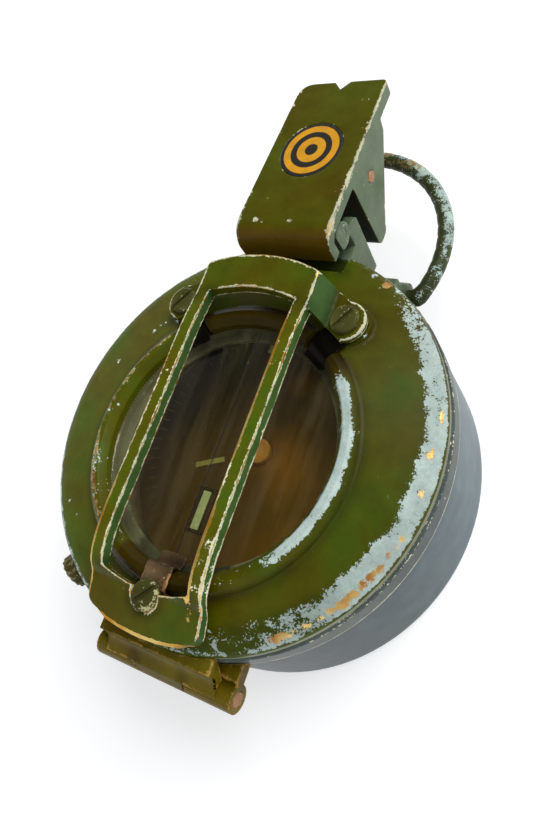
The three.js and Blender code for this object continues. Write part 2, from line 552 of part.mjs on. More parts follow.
const archProfile = outline([
  [-BAR_OUT_X, ARCH_TOP], [BAR_OUT_X, ARCH_TOP], [BAR_OUT_X + EAR_SLOPE, EAR_Z + EAR_T],
  [EAR_X + 2 * EAR_R, EAR_Z + EAR_T], [EAR_X + 2 * EAR_R, EAR_Z], [BAR_OUT_X + EAR_SLOPE / 2, EAR_Z],
  [BAR_OUT_X - EAR_SLOPE / 2, ARCH_TOP - ARCH_T], [-BAR_OUT_X + EAR_SLOPE / 2, ARCH_TOP - ARCH_T],
  [-BAR_OUT_X - EAR_SLOPE / 2, EAR_Z], [-EAR_X - 2 * EAR_R, EAR_Z], [-EAR_X - 2 * EAR_R, EAR_Z + EAR_T],
  [-BAR_OUT_X - EAR_SLOPE, EAR_Z + EAR_T],
]);
const archSlab = solid(new THREE.ExtrudeGeometry(archProfile, { depth: BEYOND, bevelEnabled: false })
  .rotateX(Math.PI / 2).translate(0, BEYOND, 0));
let archPlan = disc(ARCH_R, 0, BEYOND).subtract(atWindow(disc(SIGHT_R, -1, 2 * BEYOND)))
  .intersect(block(-EAR_X, EAR_X, 0, BEYOND, 0, BEYOND));
for (const [, x, y] of screwPlaces.slice(0, 2)) archPlan = archPlan.add(upright(EAR_R, x, y, 0, BEYOND));

const FRONT_SEAT_Z = padZ(FRONT_Y - SCREW_HEAD_R);
const foot = upright(BOSS_R, 0, FRONT_Y, CLIP_Z + CLIP_T, FRONT_SEAT_Z - BAR_T / 2)
  .subtract(block(-BEYOND, BEYOND, WINDOW_Y + CLIP_RISE_Y - CLIP_T - FIT, BEYOND, 0, BEYOND));
const ringClearance = atWindow(disc(SIGHT_R, 0, CREST_Z + GUARD_LIFT));
const seatZ = (place) => (place === 'front' ? FRONT_SEAT_Z : EAR_Z + EAR_T);
const headRooms = screwPlaces.map(([place, x, y]) => upright(SCREW_HEAD_R + FIT, x, y, seatZ(place), BEYOND));
let guard = strip.add(archPlan.intersect(archSlab)).subtract(ringClearance).add(foot);
for (const cut of [...headRooms, ...screwHoles]) guard = guard.subtract(cut);
add('guard_bridge', guard, OLIVE);

// Slotted screws through the ears and the pad into the lid.
for (const [place, x, y] of screwPlaces) {
  const seat = seatZ(place);
  const top = seat + SCREW_HEAD_T;
  const end = screwEndZ(x, y);
  const slot = block(-SCREW_SLOT_W / 2, SCREW_SLOT_W / 2, -BOSS_R, BOSS_R, top - SCREW_SLOT_DEPTH, top + 1);
  const head = turned([
    [0, seat], [SCREW_HEAD_R, seat], [SCREW_HEAD_R, top - SCREW_HEAD_T / 3],
    [SCREW_HEAD_R - SCREW_HEAD_T / 3, top], [0, top],
  ], SMALL_ROUND).subtract(slot);
  const shank = turned([[0, end], [SCREW_SHANK_R, end], [SCREW_SHANK_R, seat + FIT], [0, seat + FIT]], SMALL_ROUND);
  add(`lid_screw_${place}`, head.add(shank).translate([x, y, 0]), BRONZE);
}

// Lid hinge: outer knuckles on a plate on the case, the middle one on a leaf on the lid.
const HALF_HINGE = HINGE_LENGTH / 2;
const HALF_MIDDLE = HINGE_MIDDLE / 2;
const hingeBore = crosswise(HINGE_PIN_R + RUN, HINGE_Y, HINGE_Z, -HINGE_LENGTH, HINGE_LENGTH);
const LEAF_EDGE_Z = LID_Z + LID_SIDE_H - LID_GAP;
const lidLeafPlate = across(outline([
  [-LID_BORE, LID_Z + PLAY], [-LID_BORE, LEAF_EDGE_Z], [-CASE_R - HINGE_LEAF_T / 2, LEAF_EDGE_Z],
  [HINGE_Y - HINGE_R * 0.84, HINGE_Z + HINGE_R * 0.54], [HINGE_Y, HINGE_Z],
  [HINGE_Y + HINGE_R * 0.71, HINGE_Z + HINGE_R * 0.71],
]), -HINGE_PLATE_W / 2, HINGE_PLATE_W / 2);
const outerRoom = [-1, 1].map((side) => crosswise(HINGE_R + PLAY, HINGE_Y, HINGE_Z,
  ...(side < 0 ? [-HINGE_LENGTH, -HALF_MIDDLE] : [HALF_MIDDLE, HINGE_LENGTH])));
const lidCylinder = disc(CASE_R + FIT, 0, BEYOND).add(disc(BAND_R + PLAY, 0, BAND_TOP + LID_GAP / 2));
add('lid_hinge_leaf', lidLeafPlate.subtract(outerRoom[0]).subtract(outerRoom[1]).subtract(lidCylinder)
  .add(crosswise(HINGE_R, HINGE_Y, HINGE_Z, -HALF_MIDDLE, HALF_MIDDLE)).subtract(hingeBore), OLIVE);

const STRAP_TOP = HINGE_Z + HINGE_STRAP_RISE;
const strapProfile = outline([
  [HINGE_Y, STRAP_TOP - HINGE_STRAP_T], [-LID_BORE + HINGE_R, STRAP_TOP - HINGE_STRAP_T], [-LID_BORE + HINGE_R, STRAP_TOP],
  [-BAND_R - PLAY, STRAP_TOP], [HINGE_Y + HINGE_R * 0.8, HINGE_Z + HINGE_R * 0.6],
]);
const caseRoom = disc(CASE_R + FIT, 0, BEYOND).add(disc(BAND_R + FIT, CASE_HEIGHT - FIT, BEYOND));
const WEB_TOP = HINGE_Z - HINGE_R - PLAY;
const hingeWeb = block(-HINGE_WEB_W / 2, HINGE_WEB_W / 2, HINGE_Y + HINGE_R * 0.4, -LID_BORE + HINGE_R,
  WEB_TOP - HINGE_WEB_T, HINGE_Z);
let caseLeaf = across(strapProfile, -HALF_HINGE, HALF_HINGE).add(hingeWeb).subtract(
  block(-HALF_MIDDLE - PLAY, HALF_MIDDLE + PLAY, -BEYOND, 0, WEB_TOP, BEYOND));
for (const side of [-1, 1]) {
  const ends = [side * (HALF_MIDDLE + PLAY), side * HALF_HINGE].sort((a, b) => a - b);
  caseLeaf = caseLeaf.add(crosswise(HINGE_R, HINGE_Y, HINGE_Z, ...ends));
}
add('case_hinge_leaf', caseLeaf.subtract(caseRoom).subtract(hingeBore), GREY_GREEN);
add('hinge_pin', crosswise(HINGE_PIN_R, HINGE_Y, HINGE_Z, -HALF_HINGE - FIT, HALF_HINGE + FIT), COPPER);

// Prism bracket: two cheeks that stand up outside the case, with a web on the case wall.
const cheekProfile = new THREE.Shape();
cheekProfile.moveTo(CASE_R - 1, CHEEK_FOOT_Z);
cheekProfile.lineTo(PIVOT_Y + CHEEK_FOOT_REACH, CHEEK_FOOT_Z);
cheekProfile.lineTo(PIVOT_Y + CHEEK_REACH, PIVOT_Z - 1.8 * CHEEK_DROP);
cheekProfile.lineTo(PIVOT_Y + CHEEK_REACH - 0.7 * CHEEK_DROP, PIVOT_Z - CHEEK_DROP);
cheekProfile.absarc(PIVOT_Y, PIVOT_Z, KNUCKLE_R, -0.3, 1.72 * Math.PI, false);
cheekProfile.lineTo(PIVOT_Y + KNUCKLE_R * 0.64, PIVOT_Z - HEEL_BACK - PLAY);
cheekProfile.lineTo(CASE_R - 1, PIVOT_Z - HEEL_BACK - 2.4 * PLAY);
const CHEEK_OUT = LEAF_W / 2;
const cheekBore = crosswise(PRISM_PIN_R + RUN, PIVOT_Y, PIVOT_Z, -LEAF_W, LEAF_W);
const web = block(-CHEEK_OUT, CHEEK_OUT, CASE_R - CHEEK_OUT, CASE_R + BRACKET_WEB_T, CHEEK_FOOT_Z, BAND_TOP - BAND_EDGE);
add('prism_bracket', across(cheekProfile, -CHEEK_OUT, -CHEEK_OUT + CHEEK_T, 12)
  .add(across(cheekProfile, CHEEK_OUT - CHEEK_T, CHEEK_OUT, 12)).add(web)
  .subtract(caseRoom).subtract(cheekBore), GREY_GREEN);
add('prism_pin', crosswise(PRISM_PIN_R, PIVOT_Y, PIVOT_Z, -CHEEK_OUT - FIT, CHEEK_OUT + FIT), COPPER);

// Prism holder: a folded leaf with a V notch, a knuckle on the pin and a box with a sloping back.
const leafPlan = new THREE.Shape();
const HALF_LEAF = LEAF_W / 2;
leafPlan.moveTo(-HALF_LEAF - LEAF_FLARE, -HEEL_BACK + HEEL_R);
leafPlan.lineTo(HALF_LEAF, -HEEL_BACK + HEEL_R);
leafPlan.lineTo(HALF_LEAF, LEAF_TIP - LEAF_CORNER_R / 3);
leafPlan.quadraticCurveTo(HALF_LEAF, LEAF_TIP, HALF_LEAF - LEAF_CORNER_R / 3, LEAF_TIP);
leafPlan.lineTo(NOTCH_W / 2, LEAF_TIP);
leafPlan.lineTo(0, LEAF_TIP - NOTCH_DEPTH);
leafPlan.lineTo(-NOTCH_W / 2, LEAF_TIP);
leafPlan.lineTo(-HALF_LEAF + LEAF_CORNER_R, LEAF_TIP);
leafPlan.quadraticCurveTo(-HALF_LEAF, LEAF_TIP, -HALF_LEAF, LEAF_TIP - LEAF_CORNER_R);
const heelProfile = new THREE.Shape();
heelProfile.moveTo(-HEEL_BACK + HEEL_R + 0.5, LEAF_UNDER);
heelProfile.lineTo(-HEEL_BACK + HEEL_R + 0.5, LEAF_TOP);
heelProfile.lineTo(-HEEL_BACK + HEEL_R, LEAF_TOP);
heelProfile.absarc(-HEEL_BACK + HEEL_R, LEAF_TOP - HEEL_R, HEEL_R, Math.PI / 2, Math.PI, false);
heelProfile.lineTo(-HEEL_BACK, -HEEL_DROP);
heelProfile.lineTo(-HEEL_BACK + HEEL_T, -HEEL_DROP);
heelProfile.lineTo(-HEEL_BACK + HEEL_T, LEAF_UNDER - HEEL_T / 2);
heelProfile.lineTo(-HEEL_BACK + 1.5 * HEEL_T, LEAF_UNDER);
const boxProfile = new THREE.Shape();
boxProfile.moveTo(BOX_START, LEAF_UNDER + FIT);
boxProfile.lineTo(BOX_START, -BOX_DEPTH + BOX_NOSE_R);
boxProfile.quadraticCurveTo(BOX_START, -BOX_DEPTH, BOX_START + BOX_NOSE_R, -BOX_DEPTH);
boxProfile.lineTo(BOX_NOSE_REACH - BOX_NOSE_R, -BOX_DEPTH);
boxProfile.quadraticCurveTo(BOX_NOSE_REACH, -BOX_DEPTH, BOX_NOSE_REACH + BOX_NOSE_R / 4, -BOX_DEPTH + BOX_NOSE_R);
boxProfile.lineTo(BOX_TOP_REACH, BOX_BACK_START);
boxProfile.lineTo(BOX_TOP_REACH + BOX_NOSE_R / 4, LEAF_UNDER + FIT);
const CAVITY_X = HALF_LEAF - BOX_WALL;
const CAVITY_V = BOX_START + BOX_WALL;
const cavity = block(-CAVITY_X, CAVITY_X, CAVITY_V, LEAF_TIP, -BOX_DEPTH + BOX_WALL, LEAF_UNDER);
const KNUCKLE_X = CHEEK_OUT - CHEEK_T - PLAY;
const knuckle = crosswise(KNUCKLE_R, 0, 0, -KNUCKLE_X, KNUCKLE_X)
  .add(block(-KNUCKLE_X, KNUCKLE_X, -KNUCKLE_R * 0.8, KNUCKLE_R * 0.8, 0, LEAF_UNDER + FIT))
  .subtract(crosswise(PRISM_PIN_R + RUN, 0, 0, -LEAF_W, LEAF_W));
const eyeHole = solid(new THREE.CylinderGeometry(EYE_LENS_R + FIT, EYE_LENS_R + FIT, 4 * BOX_WALL, SMALL_ROUND)
  .translate(0, BOX_START, -EYE_LENS_DROP));
const discSeat = upright(DISC_R + FIT, DISC_X, DISC_AT, LEAF_TOP - DISC_T - FIT / 2, LEAF_TOP + 1, 48);
const [rivetV, rivetW] = RIVET_AT;
const rivetHole = crosswise(RIVET_R + FIT, rivetV, rivetW, -LEAF_W, LEAF_W);
add('prism_holder', raised(leafPlan, LEAF_UNDER, LEAF_TOP).add(across(heelProfile, -HALF_LEAF - LEAF_FLARE, HALF_LEAF))
  .add(across(boxProfile, -HALF_LEAF, HALF_LEAF).subtract(cavity)).add(knuckle).subtract(eyeHole)
  .subtract(discSeat).subtract(upright(PORT_R, DISC_X, DISC_AT, 0, LEAF_TOP, 32)).subtract(rivetHole),
GREY_GREEN, prismUnit);
add('leaf_disc', upright(DISC_R, DISC_X, DISC_AT, LEAF_TOP - DISC_T, LEAF_TOP, 48), AMBER, prismUnit);

// Right-angle prism, eye lens, back cover and rivets inside and on the box.
const prismV = CAVITY_V + FIT;
const prismW = LEAF_UNDER - FIT;
add('prism', across(outline([[prismV, prismW], [prismV, prismW - PRISM_LEG], [prismV + PRISM_LEG, prismW]]),
  -CAVITY_X + FIT, CAVITY_X - FIT), GLASS, prismUnit);
add('eye_lens', solid(new THREE.CylinderGeometry(EYE_LENS_R, EYE_LENS_R, BOX_WALL - FIT, SMALL_ROUND)
  .translate(0, BOX_START + (BOX_WALL - FIT) / 2, -EYE_LENS_DROP)), GLASS, prismUnit);
const backLow = new THREE.Vector2(BOX_NOSE_REACH + BOX_NOSE_R / 4, -BOX_DEPTH + BOX_NOSE_R);
const backTop = new THREE.Vector2(BOX_TOP_REACH, BOX_BACK_START);
const backAlong = backTop.clone().sub(backLow).normalize();
const backInward = new THREE.Vector2(-backAlong.y, backAlong.x);
const coverStart = backLow.clone().addScaledVector(backAlong, BOX_WALL);
const coverCorners = [coverStart, backTop, backTop.clone().addScaledVector(backInward, COVER_T),
  coverStart.clone().addScaledVector(backInward, COVER_T)];
add('prism_cover', across(new THREE.Shape(coverCorners), -CAVITY_X + FIT, CAVITY_X - FIT), GREY_GREEN, prismUnit);
for (const [name, side] of [['prism_rivet_left', -1], ['prism_rivet_right', 1]]) {
  const ends = [side * (CAVITY_X + FIT / 2), side * (HALF_LEAF + RIVET_PROUD)].sort((a, b) => a - b);
  add(name, crosswise(RIVET_R, rivetV, rivetW, ...ends), COPPER, prismUnit);
}

// Bail: a wire loop that closes past its half circle and hinges in two lugs on the case wall.
const bailReach = BAIL_R * Math.cos(BAIL_OPENING);
const BAIL_Y = Math.sqrt((CASE_R + BAIL_STANDOFF) ** 2 - bailReach ** 2);
class LoopCurve extends THREE.Curve {
  getPoint(t, target = new THREE.Vector3()) {
    const angle = -BAIL_OPENING + t * (Math.PI + 2 * BAIL_OPENING);
    const reach = BAIL_R * (Math.sin(BAIL_OPENING) + Math.sin(angle));
    return target.set(BAIL_R * Math.cos(angle), BAIL_Y + reach * Math.cos(BAIL_TILT), BAIL_Z + reach * Math.sin(BAIL_TILT));
  }
}
const wireSection = new THREE.Shape().absarc(0, 0, BAIL_WIRE_R, 0, 2 * Math.PI);
let bail = solid(new THREE.ExtrudeGeometry(wireSection,
  { steps: 32, extrudePath: new LoopCurve(), curveSegments: 5, bevelEnabled: false }));
for (const side of [-1, 1]) {
  const ends = [side * (bailReach - BAIL_PIN_L - BAIL_WIRE_R), side * bailReach].sort((a, b) => a - b);
  bail = bail.add(crosswise(BAIL_PIN_R, BAIL_Y, BAIL_Z, ...ends, WIRE_ROUND))
    .add(solid(new THREE.SphereGeometry(BAIL_WIRE_R, WIRE_ROUND, WIRE_ROUND).translate(side * bailReach, BAIL_Y, BAIL_Z)));
}
add('thumb_bail', bail, OLIVE);
const bailBore = crosswise(BAIL_PIN_R + RUN, BAIL_Y, BAIL_Z, -CASE_R, CASE_R, WIRE_ROUND);
for (const [name, side] of [['bail_lug_left', -1], ['bail_lug_right', 1]]) {
  const outer = side * (bailReach - BAIL_WIRE_R - PLAY);
  const inner = side * (bailReach - BAIL_WIRE_R - PLAY - BAIL_PIN_L);
  const ends = [inner, outer].sort((a, b) => a - b);
  const lug = crosswise(LUG_R, BAIL_Y, BAIL_Z, ...ends)
    .add(block(...ends, BAIL_Y - 2 * LUG_R, BAIL_Y, BAIL_Z - LUG_R, CASE_HEIGHT - FIT))
    .subtract(bailBore).subtract(caseRoom);
  add(name, lug, GREY_GREEN);
}

export default compass;
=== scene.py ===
import bmesh
import bpy
import json
import math
import numpy as np
from mathutils import Matrix, Vector
from mathutils.kdtree import KDTree

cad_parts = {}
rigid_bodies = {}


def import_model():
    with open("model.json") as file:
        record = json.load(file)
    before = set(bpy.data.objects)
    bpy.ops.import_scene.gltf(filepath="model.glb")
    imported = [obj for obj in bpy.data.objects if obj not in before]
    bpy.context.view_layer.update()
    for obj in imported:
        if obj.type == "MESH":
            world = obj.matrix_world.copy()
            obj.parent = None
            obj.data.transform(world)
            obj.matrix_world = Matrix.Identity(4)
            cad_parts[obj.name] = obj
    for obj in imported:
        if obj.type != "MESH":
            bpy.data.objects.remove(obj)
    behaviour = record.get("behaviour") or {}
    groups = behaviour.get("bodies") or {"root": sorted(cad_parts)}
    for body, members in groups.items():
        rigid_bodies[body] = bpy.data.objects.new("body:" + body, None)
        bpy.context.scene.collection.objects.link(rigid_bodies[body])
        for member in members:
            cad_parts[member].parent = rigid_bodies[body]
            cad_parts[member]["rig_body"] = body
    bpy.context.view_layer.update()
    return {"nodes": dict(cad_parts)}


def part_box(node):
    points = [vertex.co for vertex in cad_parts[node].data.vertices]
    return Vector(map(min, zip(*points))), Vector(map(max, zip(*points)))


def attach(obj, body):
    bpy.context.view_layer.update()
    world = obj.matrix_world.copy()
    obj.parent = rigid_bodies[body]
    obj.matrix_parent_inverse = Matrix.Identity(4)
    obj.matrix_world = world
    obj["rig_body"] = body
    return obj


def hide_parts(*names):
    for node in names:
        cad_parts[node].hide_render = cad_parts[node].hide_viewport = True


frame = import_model()

# Camera: stands to the right of the lid hinge and looks down on the lid.
# Its place, turn and lens were fitted to the rim, the base and the window of the photograph.
camera = bpy.data.objects.new("camera", bpy.data.cameras.new("camera"))
camera.data.sensor_width = 36
camera.data.lens = 31.215
camera.data.clip_start = 0.001
camera_at = Vector((0.062881, -0.022967, 0.116753))
camera_right = Vector((0.84166, 0.33626, -0.42254))
camera_up = Vector((-0.17219, 0.90874, 0.38019))
camera_back = Vector((0.51182, -0.24723, 0.82275))
camera_turn = Matrix((camera_right, camera_up, camera_back)).transposed().to_4x4()
camera.matrix_world = Matrix.Translation(camera_at) @ camera_turn
bpy.context.scene.collection.objects.link(camera)
bpy.context.scene.camera = camera


# Case tub: a turned brass tub, sprayed grey-blue, with bare metal on its lower edge.
# The liquid capsule drops into it and the band closes it.
def srgb(red, green, blue):
    """Linear colour from sRGB levels of 0 to 255."""
    levels = [value / 255 for value in (red, green, blue)]
    linear = [v / 12.92 if v <= 0.04045 else ((v + 0.055) / 1.055) ** 2.4 for v in levels]
    return (*linear, 1.0)


def new_finish(name):
    """An empty material, and its node tree."""
    finish = bpy.data.materials.new(name)
    finish.use_nodes = True
    tree = finish.node_tree
    tree.nodes.clear()
    return finish, tree


def put(tree, kind, sockets=None, **settings):
    """Adds a node; a socket's value may be a constant or another node's output."""
    made = tree.nodes.new(kind)
    for key, value in settings.items():
        setattr(made, key, value)
    for key, value in (sockets or {}).items():
        if isinstance(value, bpy.types.NodeSocket):
            tree.links.new(value, made.inputs[key])
        else:
            made.inputs[key].default_value = value
    return made


def noise(tree, place, scale, detail, roughness):
    """Noise of about 0 to 1, with roughly as many grains in a metre as scale says."""
    sockets = {"Vector": place, "Scale": scale, "Detail": detail, "Roughness": roughness}
    return put(tree, "ShaderNodeTexNoise", sockets).outputs["Fac"]


def span(tree, value, start, end, low=0.0, high=1.0):
    """Value from start to end, spread over low to high and held there."""
    sockets = {"Value": value, "From Min": start, "From Max": end, "To Min": low, "To Max": high}
    return put(tree, "ShaderNodeMapRange", sockets).outputs["Result"]


def math_of(tree, operation, *values):
    """Result of a maths node on two or three values."""
    return put(tree, "ShaderNodeMath", dict(enumerate(values)), operation=operation).outputs[0]


def tint(tree, factor, first, second, kind="MIX"):
    """First colour, blended with the second by factor."""
    sockets = {0: factor, 6: first, 7: second}
    return put(tree, "ShaderNodeMix", sockets, data_type="RGBA", blend_type=kind).outputs[2]


def shaded(tree, color, level):
    """Colour times a grey level."""
    grey = put(tree, "ShaderNodeCombineColor", {0: level, 1: level, 2: level}).outputs[0]
    return tint(tree, 1.0, color, grey, "MULTIPLY")


def ramp(tree, value, stops):
    """Colour that runs through stops, each a position and a colour."""
    made = put(tree, "ShaderNodeValToRGB", {"Fac": value})
    made.color_ramp.elements[0].position, made.color_ramp.elements[0].color = stops[0]
    made.color_ramp.elements[1].position, made.color_ramp.elements[1].color = stops[-1]
    for position, color in stops[1:-1]:
        made.color_ramp.elements.new(position).color = color
    return made.outputs["Color"]


stain_and_shade_brown = srgb(90, 66, 4)
worn_through = 0.5
primer_matt = 0.62
metal_matt = 0.34
metal_share = 0.85
flake_depth = 0.00005


def worn_paint_with_shade(name, coat, undercoat, metal, flank=None, coat_metal=0.0, gloss=0.33, reach=0.9,
               edge_primer=0.42, edge_metal=0.3):
    """Mottled paint over primer over metal. Edges wear it away within reach, in millimetres, and so do
    the mesh's attributes: rub down to primer, and bare down to metal. Dirt and painted shade darken it,
    and so does painted shade near inner corners, given by their distance; a brown that is partly stain
    and partly painted shade browns it, and flank gives some faces a colour of their own."""
    finish, tree = new_finish(name)
    place = put(tree, "ShaderNodeTexCoord").outputs["Object"]

    def attribute(key):
        return put(tree, "ShaderNodeAttribute", attribute_name=key).outputs["Fac"]

    def centred_noise(scale, detail, roughness):
        return math_of(tree, "SUBTRACT", noise(tree, place, scale, detail, roughness), 0.5)

    mottle = noise(tree, place, 70, 5, 0.6)
    coat_color = ramp(tree, mottle, [(0.36, coat[0]), (0.5, coat[1]), (0.64, coat[2])])
    # The brown tint is partly real stain and partly painted shade.
    coat_color = tint(tree, attribute("stain_and_shade"), coat_color, stain_and_shade_brown)
    if flank:
        coat_color = tint(tree, attribute("flank"), coat_color, flank)
    grime = span(tree, noise(tree, place, 260, 7, 0.65), 0.3, 0.7, 0.8, 1.14)
    # Painted shade: darker near inner corners, and where the dirt and shade attribute is high.
    corner_shade = span(tree, attribute("corner_shade_mm"), 0.0, 1.8, 0.6, 1.0)
    clear_of_dirt_and_shade = math_of(tree, "SUBTRACT", 1.0, attribute("dirt_and_shade"))
    shade = math_of(tree, "MULTIPLY", math_of(tree, "MULTIPLY", grime, corner_shade), clear_of_dirt_and_shade)
    coat_color = shaded(tree, coat_color, shade)

    near_edge = span(tree, attribute("edge_mm"), 0.0, reach, 1.0, 0.0)
    coarse = math_of(tree, "MULTIPLY", centred_noise(520, 5, 0.7), 0.8)
    fine = math_of(tree, "MULTIPLY", centred_noise(3200, 3, 0.6), 0.6)
    ragged = math_of(tree, "ADD", coarse, fine)
    patchy = centred_noise(180, 4, 0.6)
    flaked = centred_noise(900, 6, 0.7)
    chips = span(tree, noise(tree, place, 330, 2, 0.5), 0.7, 0.76, 0.0, 0.6)
    rubbed = math_of(tree, "MULTIPLY_ADD", near_edge, edge_primer, attribute("rub"))
    rubbed = math_of(tree, "ADD", rubbed, math_of(tree, "MULTIPLY", ragged, 2.0))
    rubbed = math_of(tree, "ADD", rubbed, math_of(tree, "MULTIPLY", patchy, 0.9))
    rubbed = math_of(tree, "ADD", rubbed, chips)
    to_primer = span(tree, rubbed, worn_through, worn_through + 0.06)
    worn = math_of(tree, "MULTIPLY_ADD", near_edge, edge_metal, attribute("bare"))
    worn = math_of(tree, "ADD", worn, flaked)
    worn = math_of(tree, "ADD", worn, math_of(tree, "MULTIPLY", patchy, 0.7))
    to_metal = span(tree, worn, worn_through, worn_through + 0.08)

    metal_color = ramp(tree, noise(tree, place, 150, 3, 0.5), [(0.4, metal[0]), (0.6, metal[1])])
    primer_shade = math_of(tree, "MULTIPLY", span(tree, ragged, -0.25, 0.25, 0.72, 1.1), clear_of_dirt_and_shade)
    primer_shade = math_of(tree, "MULTIPLY", primer_shade, span(tree, patchy, -0.15, 0.15, 0.78, 1.1))
    primer_color = shaded(tree, undercoat, primer_shade)
    color = tint(tree, to_metal, tint(tree, to_primer, coat_color, primer_color), metal_color)
    matt = span(tree, to_primer, 0, 1, gloss, primer_matt)
    matt = put(tree, "ShaderNodeMix", {0: to_metal, 2: matt, 3: metal_matt}).outputs[0]
    layer = math_of(tree, "ADD", to_primer, to_metal)
    relief = math_of(tree, "MULTIPLY_ADD", noise(tree, place, 3000, 3, 0.6), 0.25, 1.0)
    relief = math_of(tree, "SUBTRACT", relief, layer)
    bump = put(tree, "ShaderNodeBump", {"Strength": 0.5, "Distance": flake_depth, "Height": relief})
    shader = put(tree, "ShaderNodeBsdfPrincipled", {
        "Base Color": color, "Metallic": span(tree, to_metal, 0, 1, coat_metal, metal_share),
        "Roughness": matt, "Specular IOR Level": 0.1, "Normal": bump.outputs[0]})
    put(tree, "ShaderNodeOutputMaterial", {"Surface": shader.outputs[0]})
    return finish


def pulse(value, low, high, soft):
    """1 between low and high, falling smoothly to 0 over soft on both sides.
    The worn zones of each piece are given so, in millimetres or in degrees."""
    rise = np.clip((value - low) / soft + 1, 0, 1)
    fall = np.clip((high - value) / soft + 1, 0, 1)
    return rise * rise * (3 - 2 * rise) * fall * fall * (3 - 2 * fall)


point_step = 0.00025
nowhere = Vector((9, 9, 9))


def along(edges):
    """Search tree of points spread along edges, and of one far point in case there are none."""
    points = []
    for edge in edges:
        count = math.ceil(edge.calc_length() / point_step)
        points += [edge.verts[0].co.lerp(edge.verts[1].co, step / count) for step in range(count + 1)]
    tree = KDTree(len(points) + 1)
    for index, point in enumerate(points + [nowhere]):
        tree.insert(point, index)
    tree.balance()
    return tree


merge_distance = 1e-6
flat_turn = math.radians(1)
sharp_turn = math.radians(40)
split_rounds = 6


def dress(name, finish, bevel=0.15, spacing=1.3, fold=33, soften=0, facets=0, axis_y=None, reshape=None,
          wear=None, flank=None):
    """A merged copy of a CAD node with rounded edges, wear and painted shade attributes, in the node's
    place.
    Bevel and spacing are in millimetres, and edges that turn more than fold degrees count as edges.
    Soften is a number of smoothing passes. With facets, flat facets are pushed out to a true circle
    about the Z axis, or about the line at axis_y for points closer to it than the radius given.
    Reshape, wear and flank are functions of points in millimetres."""
    source = frame["nodes"][name]
    shape = bmesh.new()
    shape.from_mesh(source.data)
    bmesh.ops.remove_doubles(shape, verts=shape.verts, dist=merge_distance)
    bmesh.ops.dissolve_limit(shape, angle_limit=flat_turn, verts=shape.verts, edges=shape.edges)
    joins = [edge for edge in shape.edges if edge.is_manifold]
    folds = [edge for edge in joins if edge.calc_face_angle() > math.radians(fold)]
    sharp = [edge for edge in folds if edge.is_convex]
    crests = along(sharp)
    # Painted shade: the distance to inner corners darkens the paint near them.
    shaded_corners = along([edge for edge in folds if not edge.is_convex])
    if bevel:
        bmesh.ops.bevel(shape, geom=sharp, offset=bevel / 1000, segments=2, profile=0.5,
                        affect="EDGES", clamp_overlap=True)
    bmesh.ops.triangulate(shape, faces=shape.faces)
    for _ in range(split_rounds):
        long_edges = [edge for edge in shape.edges if edge.calc_length() > spacing / 1000]
        if not long_edges:
            break
        bmesh.ops.subdivide_edges(shape, edges=long_edges, cuts=1)
        bmesh.ops.triangulate(shape, faces=[face for face in shape.faces if len(face.verts) > 3])
    for _ in range(soften):
        bmesh.ops.smooth_vert(shape, verts=shape.verts, factor=0.5, use_axis_x=True, use_axis_y=True,
                              use_axis_z=True)
    mesh = bpy.data.meshes.new(name + "_finished")
    shape.to_mesh(mesh)
    shape.free()

    points = np.array([vertex.co for vertex in mesh.vertices])
    if facets:
        middle = np.zeros(len(points))
        if axis_y:
            shift, radius = axis_y
            middle[np.hypot(points[:, 0], points[:, 1] - shift) < radius] = shift
        step = 2 * math.pi / facets
        turn = np.arctan2(points[:, 1] - middle, points[:, 0]) % step - step / 2
        grow = np.cos(turn) / math.cos(step / 2)
        points[:, 0] *= grow
        points[:, 1] = middle + (points[:, 1] - middle) * grow
    if reshape:
        points = reshape(points * 1000) / 1000
    mesh.vertices.foreach_set("co", points.astype(np.float32).ravel())
    marks = wear(points * 1000) if wear else {}
    marks["edge_mm"] = np.array([1000 * crests.find(point)[2] for point in points])
    marks.setdefault("corner_shade_mm", np.array([1000 * shaded_corners.find(point)[2] for point in points]))
    for key, values in marks.items():
        mesh.attributes.new(key, "FLOAT", "POINT").data.foreach_set("value", values.astype(np.float32))
    if flank:
        normals = np.array([face.normal for face in mesh.polygons])
        centres = np.array([face.center for face in mesh.polygons]) * 1000
        values = flank(normals, centres).astype(np.float32)
        mesh.attributes.new("flank", "FLOAT", "FACE").data.foreach_set("value", values)
    mesh.shade_smooth()
    mesh.set_sharp_from_angle(angle=sharp_turn)
    mesh.materials.append(finish)
    piece = bpy.data.objects.new(name + "_finished", mesh)
    bpy.context.scene.collection.objects.link(piece)
    piece.modifiers.new("even_faces", "WEIGHTED_NORMAL").keep_sharp = True
    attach(piece, source["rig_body"])
    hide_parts(name)


turned_facets = 56
primer = srgb(194, 212, 205)
brass = (srgb(166, 112, 54), srgb(228, 200, 128))
case_coat = (srgb(76, 91, 97), srgb(82, 98, 103), srgb(88, 104, 107))
case_paint = worn_paint_with_shade("case_grey_blue", case_coat, srgb(150, 156, 150), brass, reach=0.7)
# Painted shade, darker on the wall round the hinge side.
shaded_wall_turn = (-120, -52, 60)
wall_shade_level = 0.55


def case_shade(points):
    """Painted shade on the wall round the hinge side."""
    turn = np.degrees(np.arctan2(points[:, 1], points[:, 0]))
    return {"dirt_and_shade": wall_shade_level * pulse(turn, *shaded_wall_turn)}


dress("case_body", case_paint, spacing=2.0, facets=turned_facets, wear=case_shade)

# Bowl and capsule glass: a turned bowl in the tub, closed by a glass on a rubber gasket.
# Its pale wall shows through the lid as a crescent beside the card.
inner_facets = 36
bowl_coat = (srgb(232, 234, 216), srgb(238, 240, 224), srgb(242, 244, 230))
bowl_paint = worn_paint_with_shade("bowl_pale", bowl_coat, primer, brass, reach=0.3, edge_primer=0, edge_metal=0)
dress("bowl", bowl_paint, bevel=0, spacing=2.5, fold=100, facets=inner_facets)
grain_depth = 0.00004
glass_index = 1.45
dust_color = srgb(186, 172, 130)


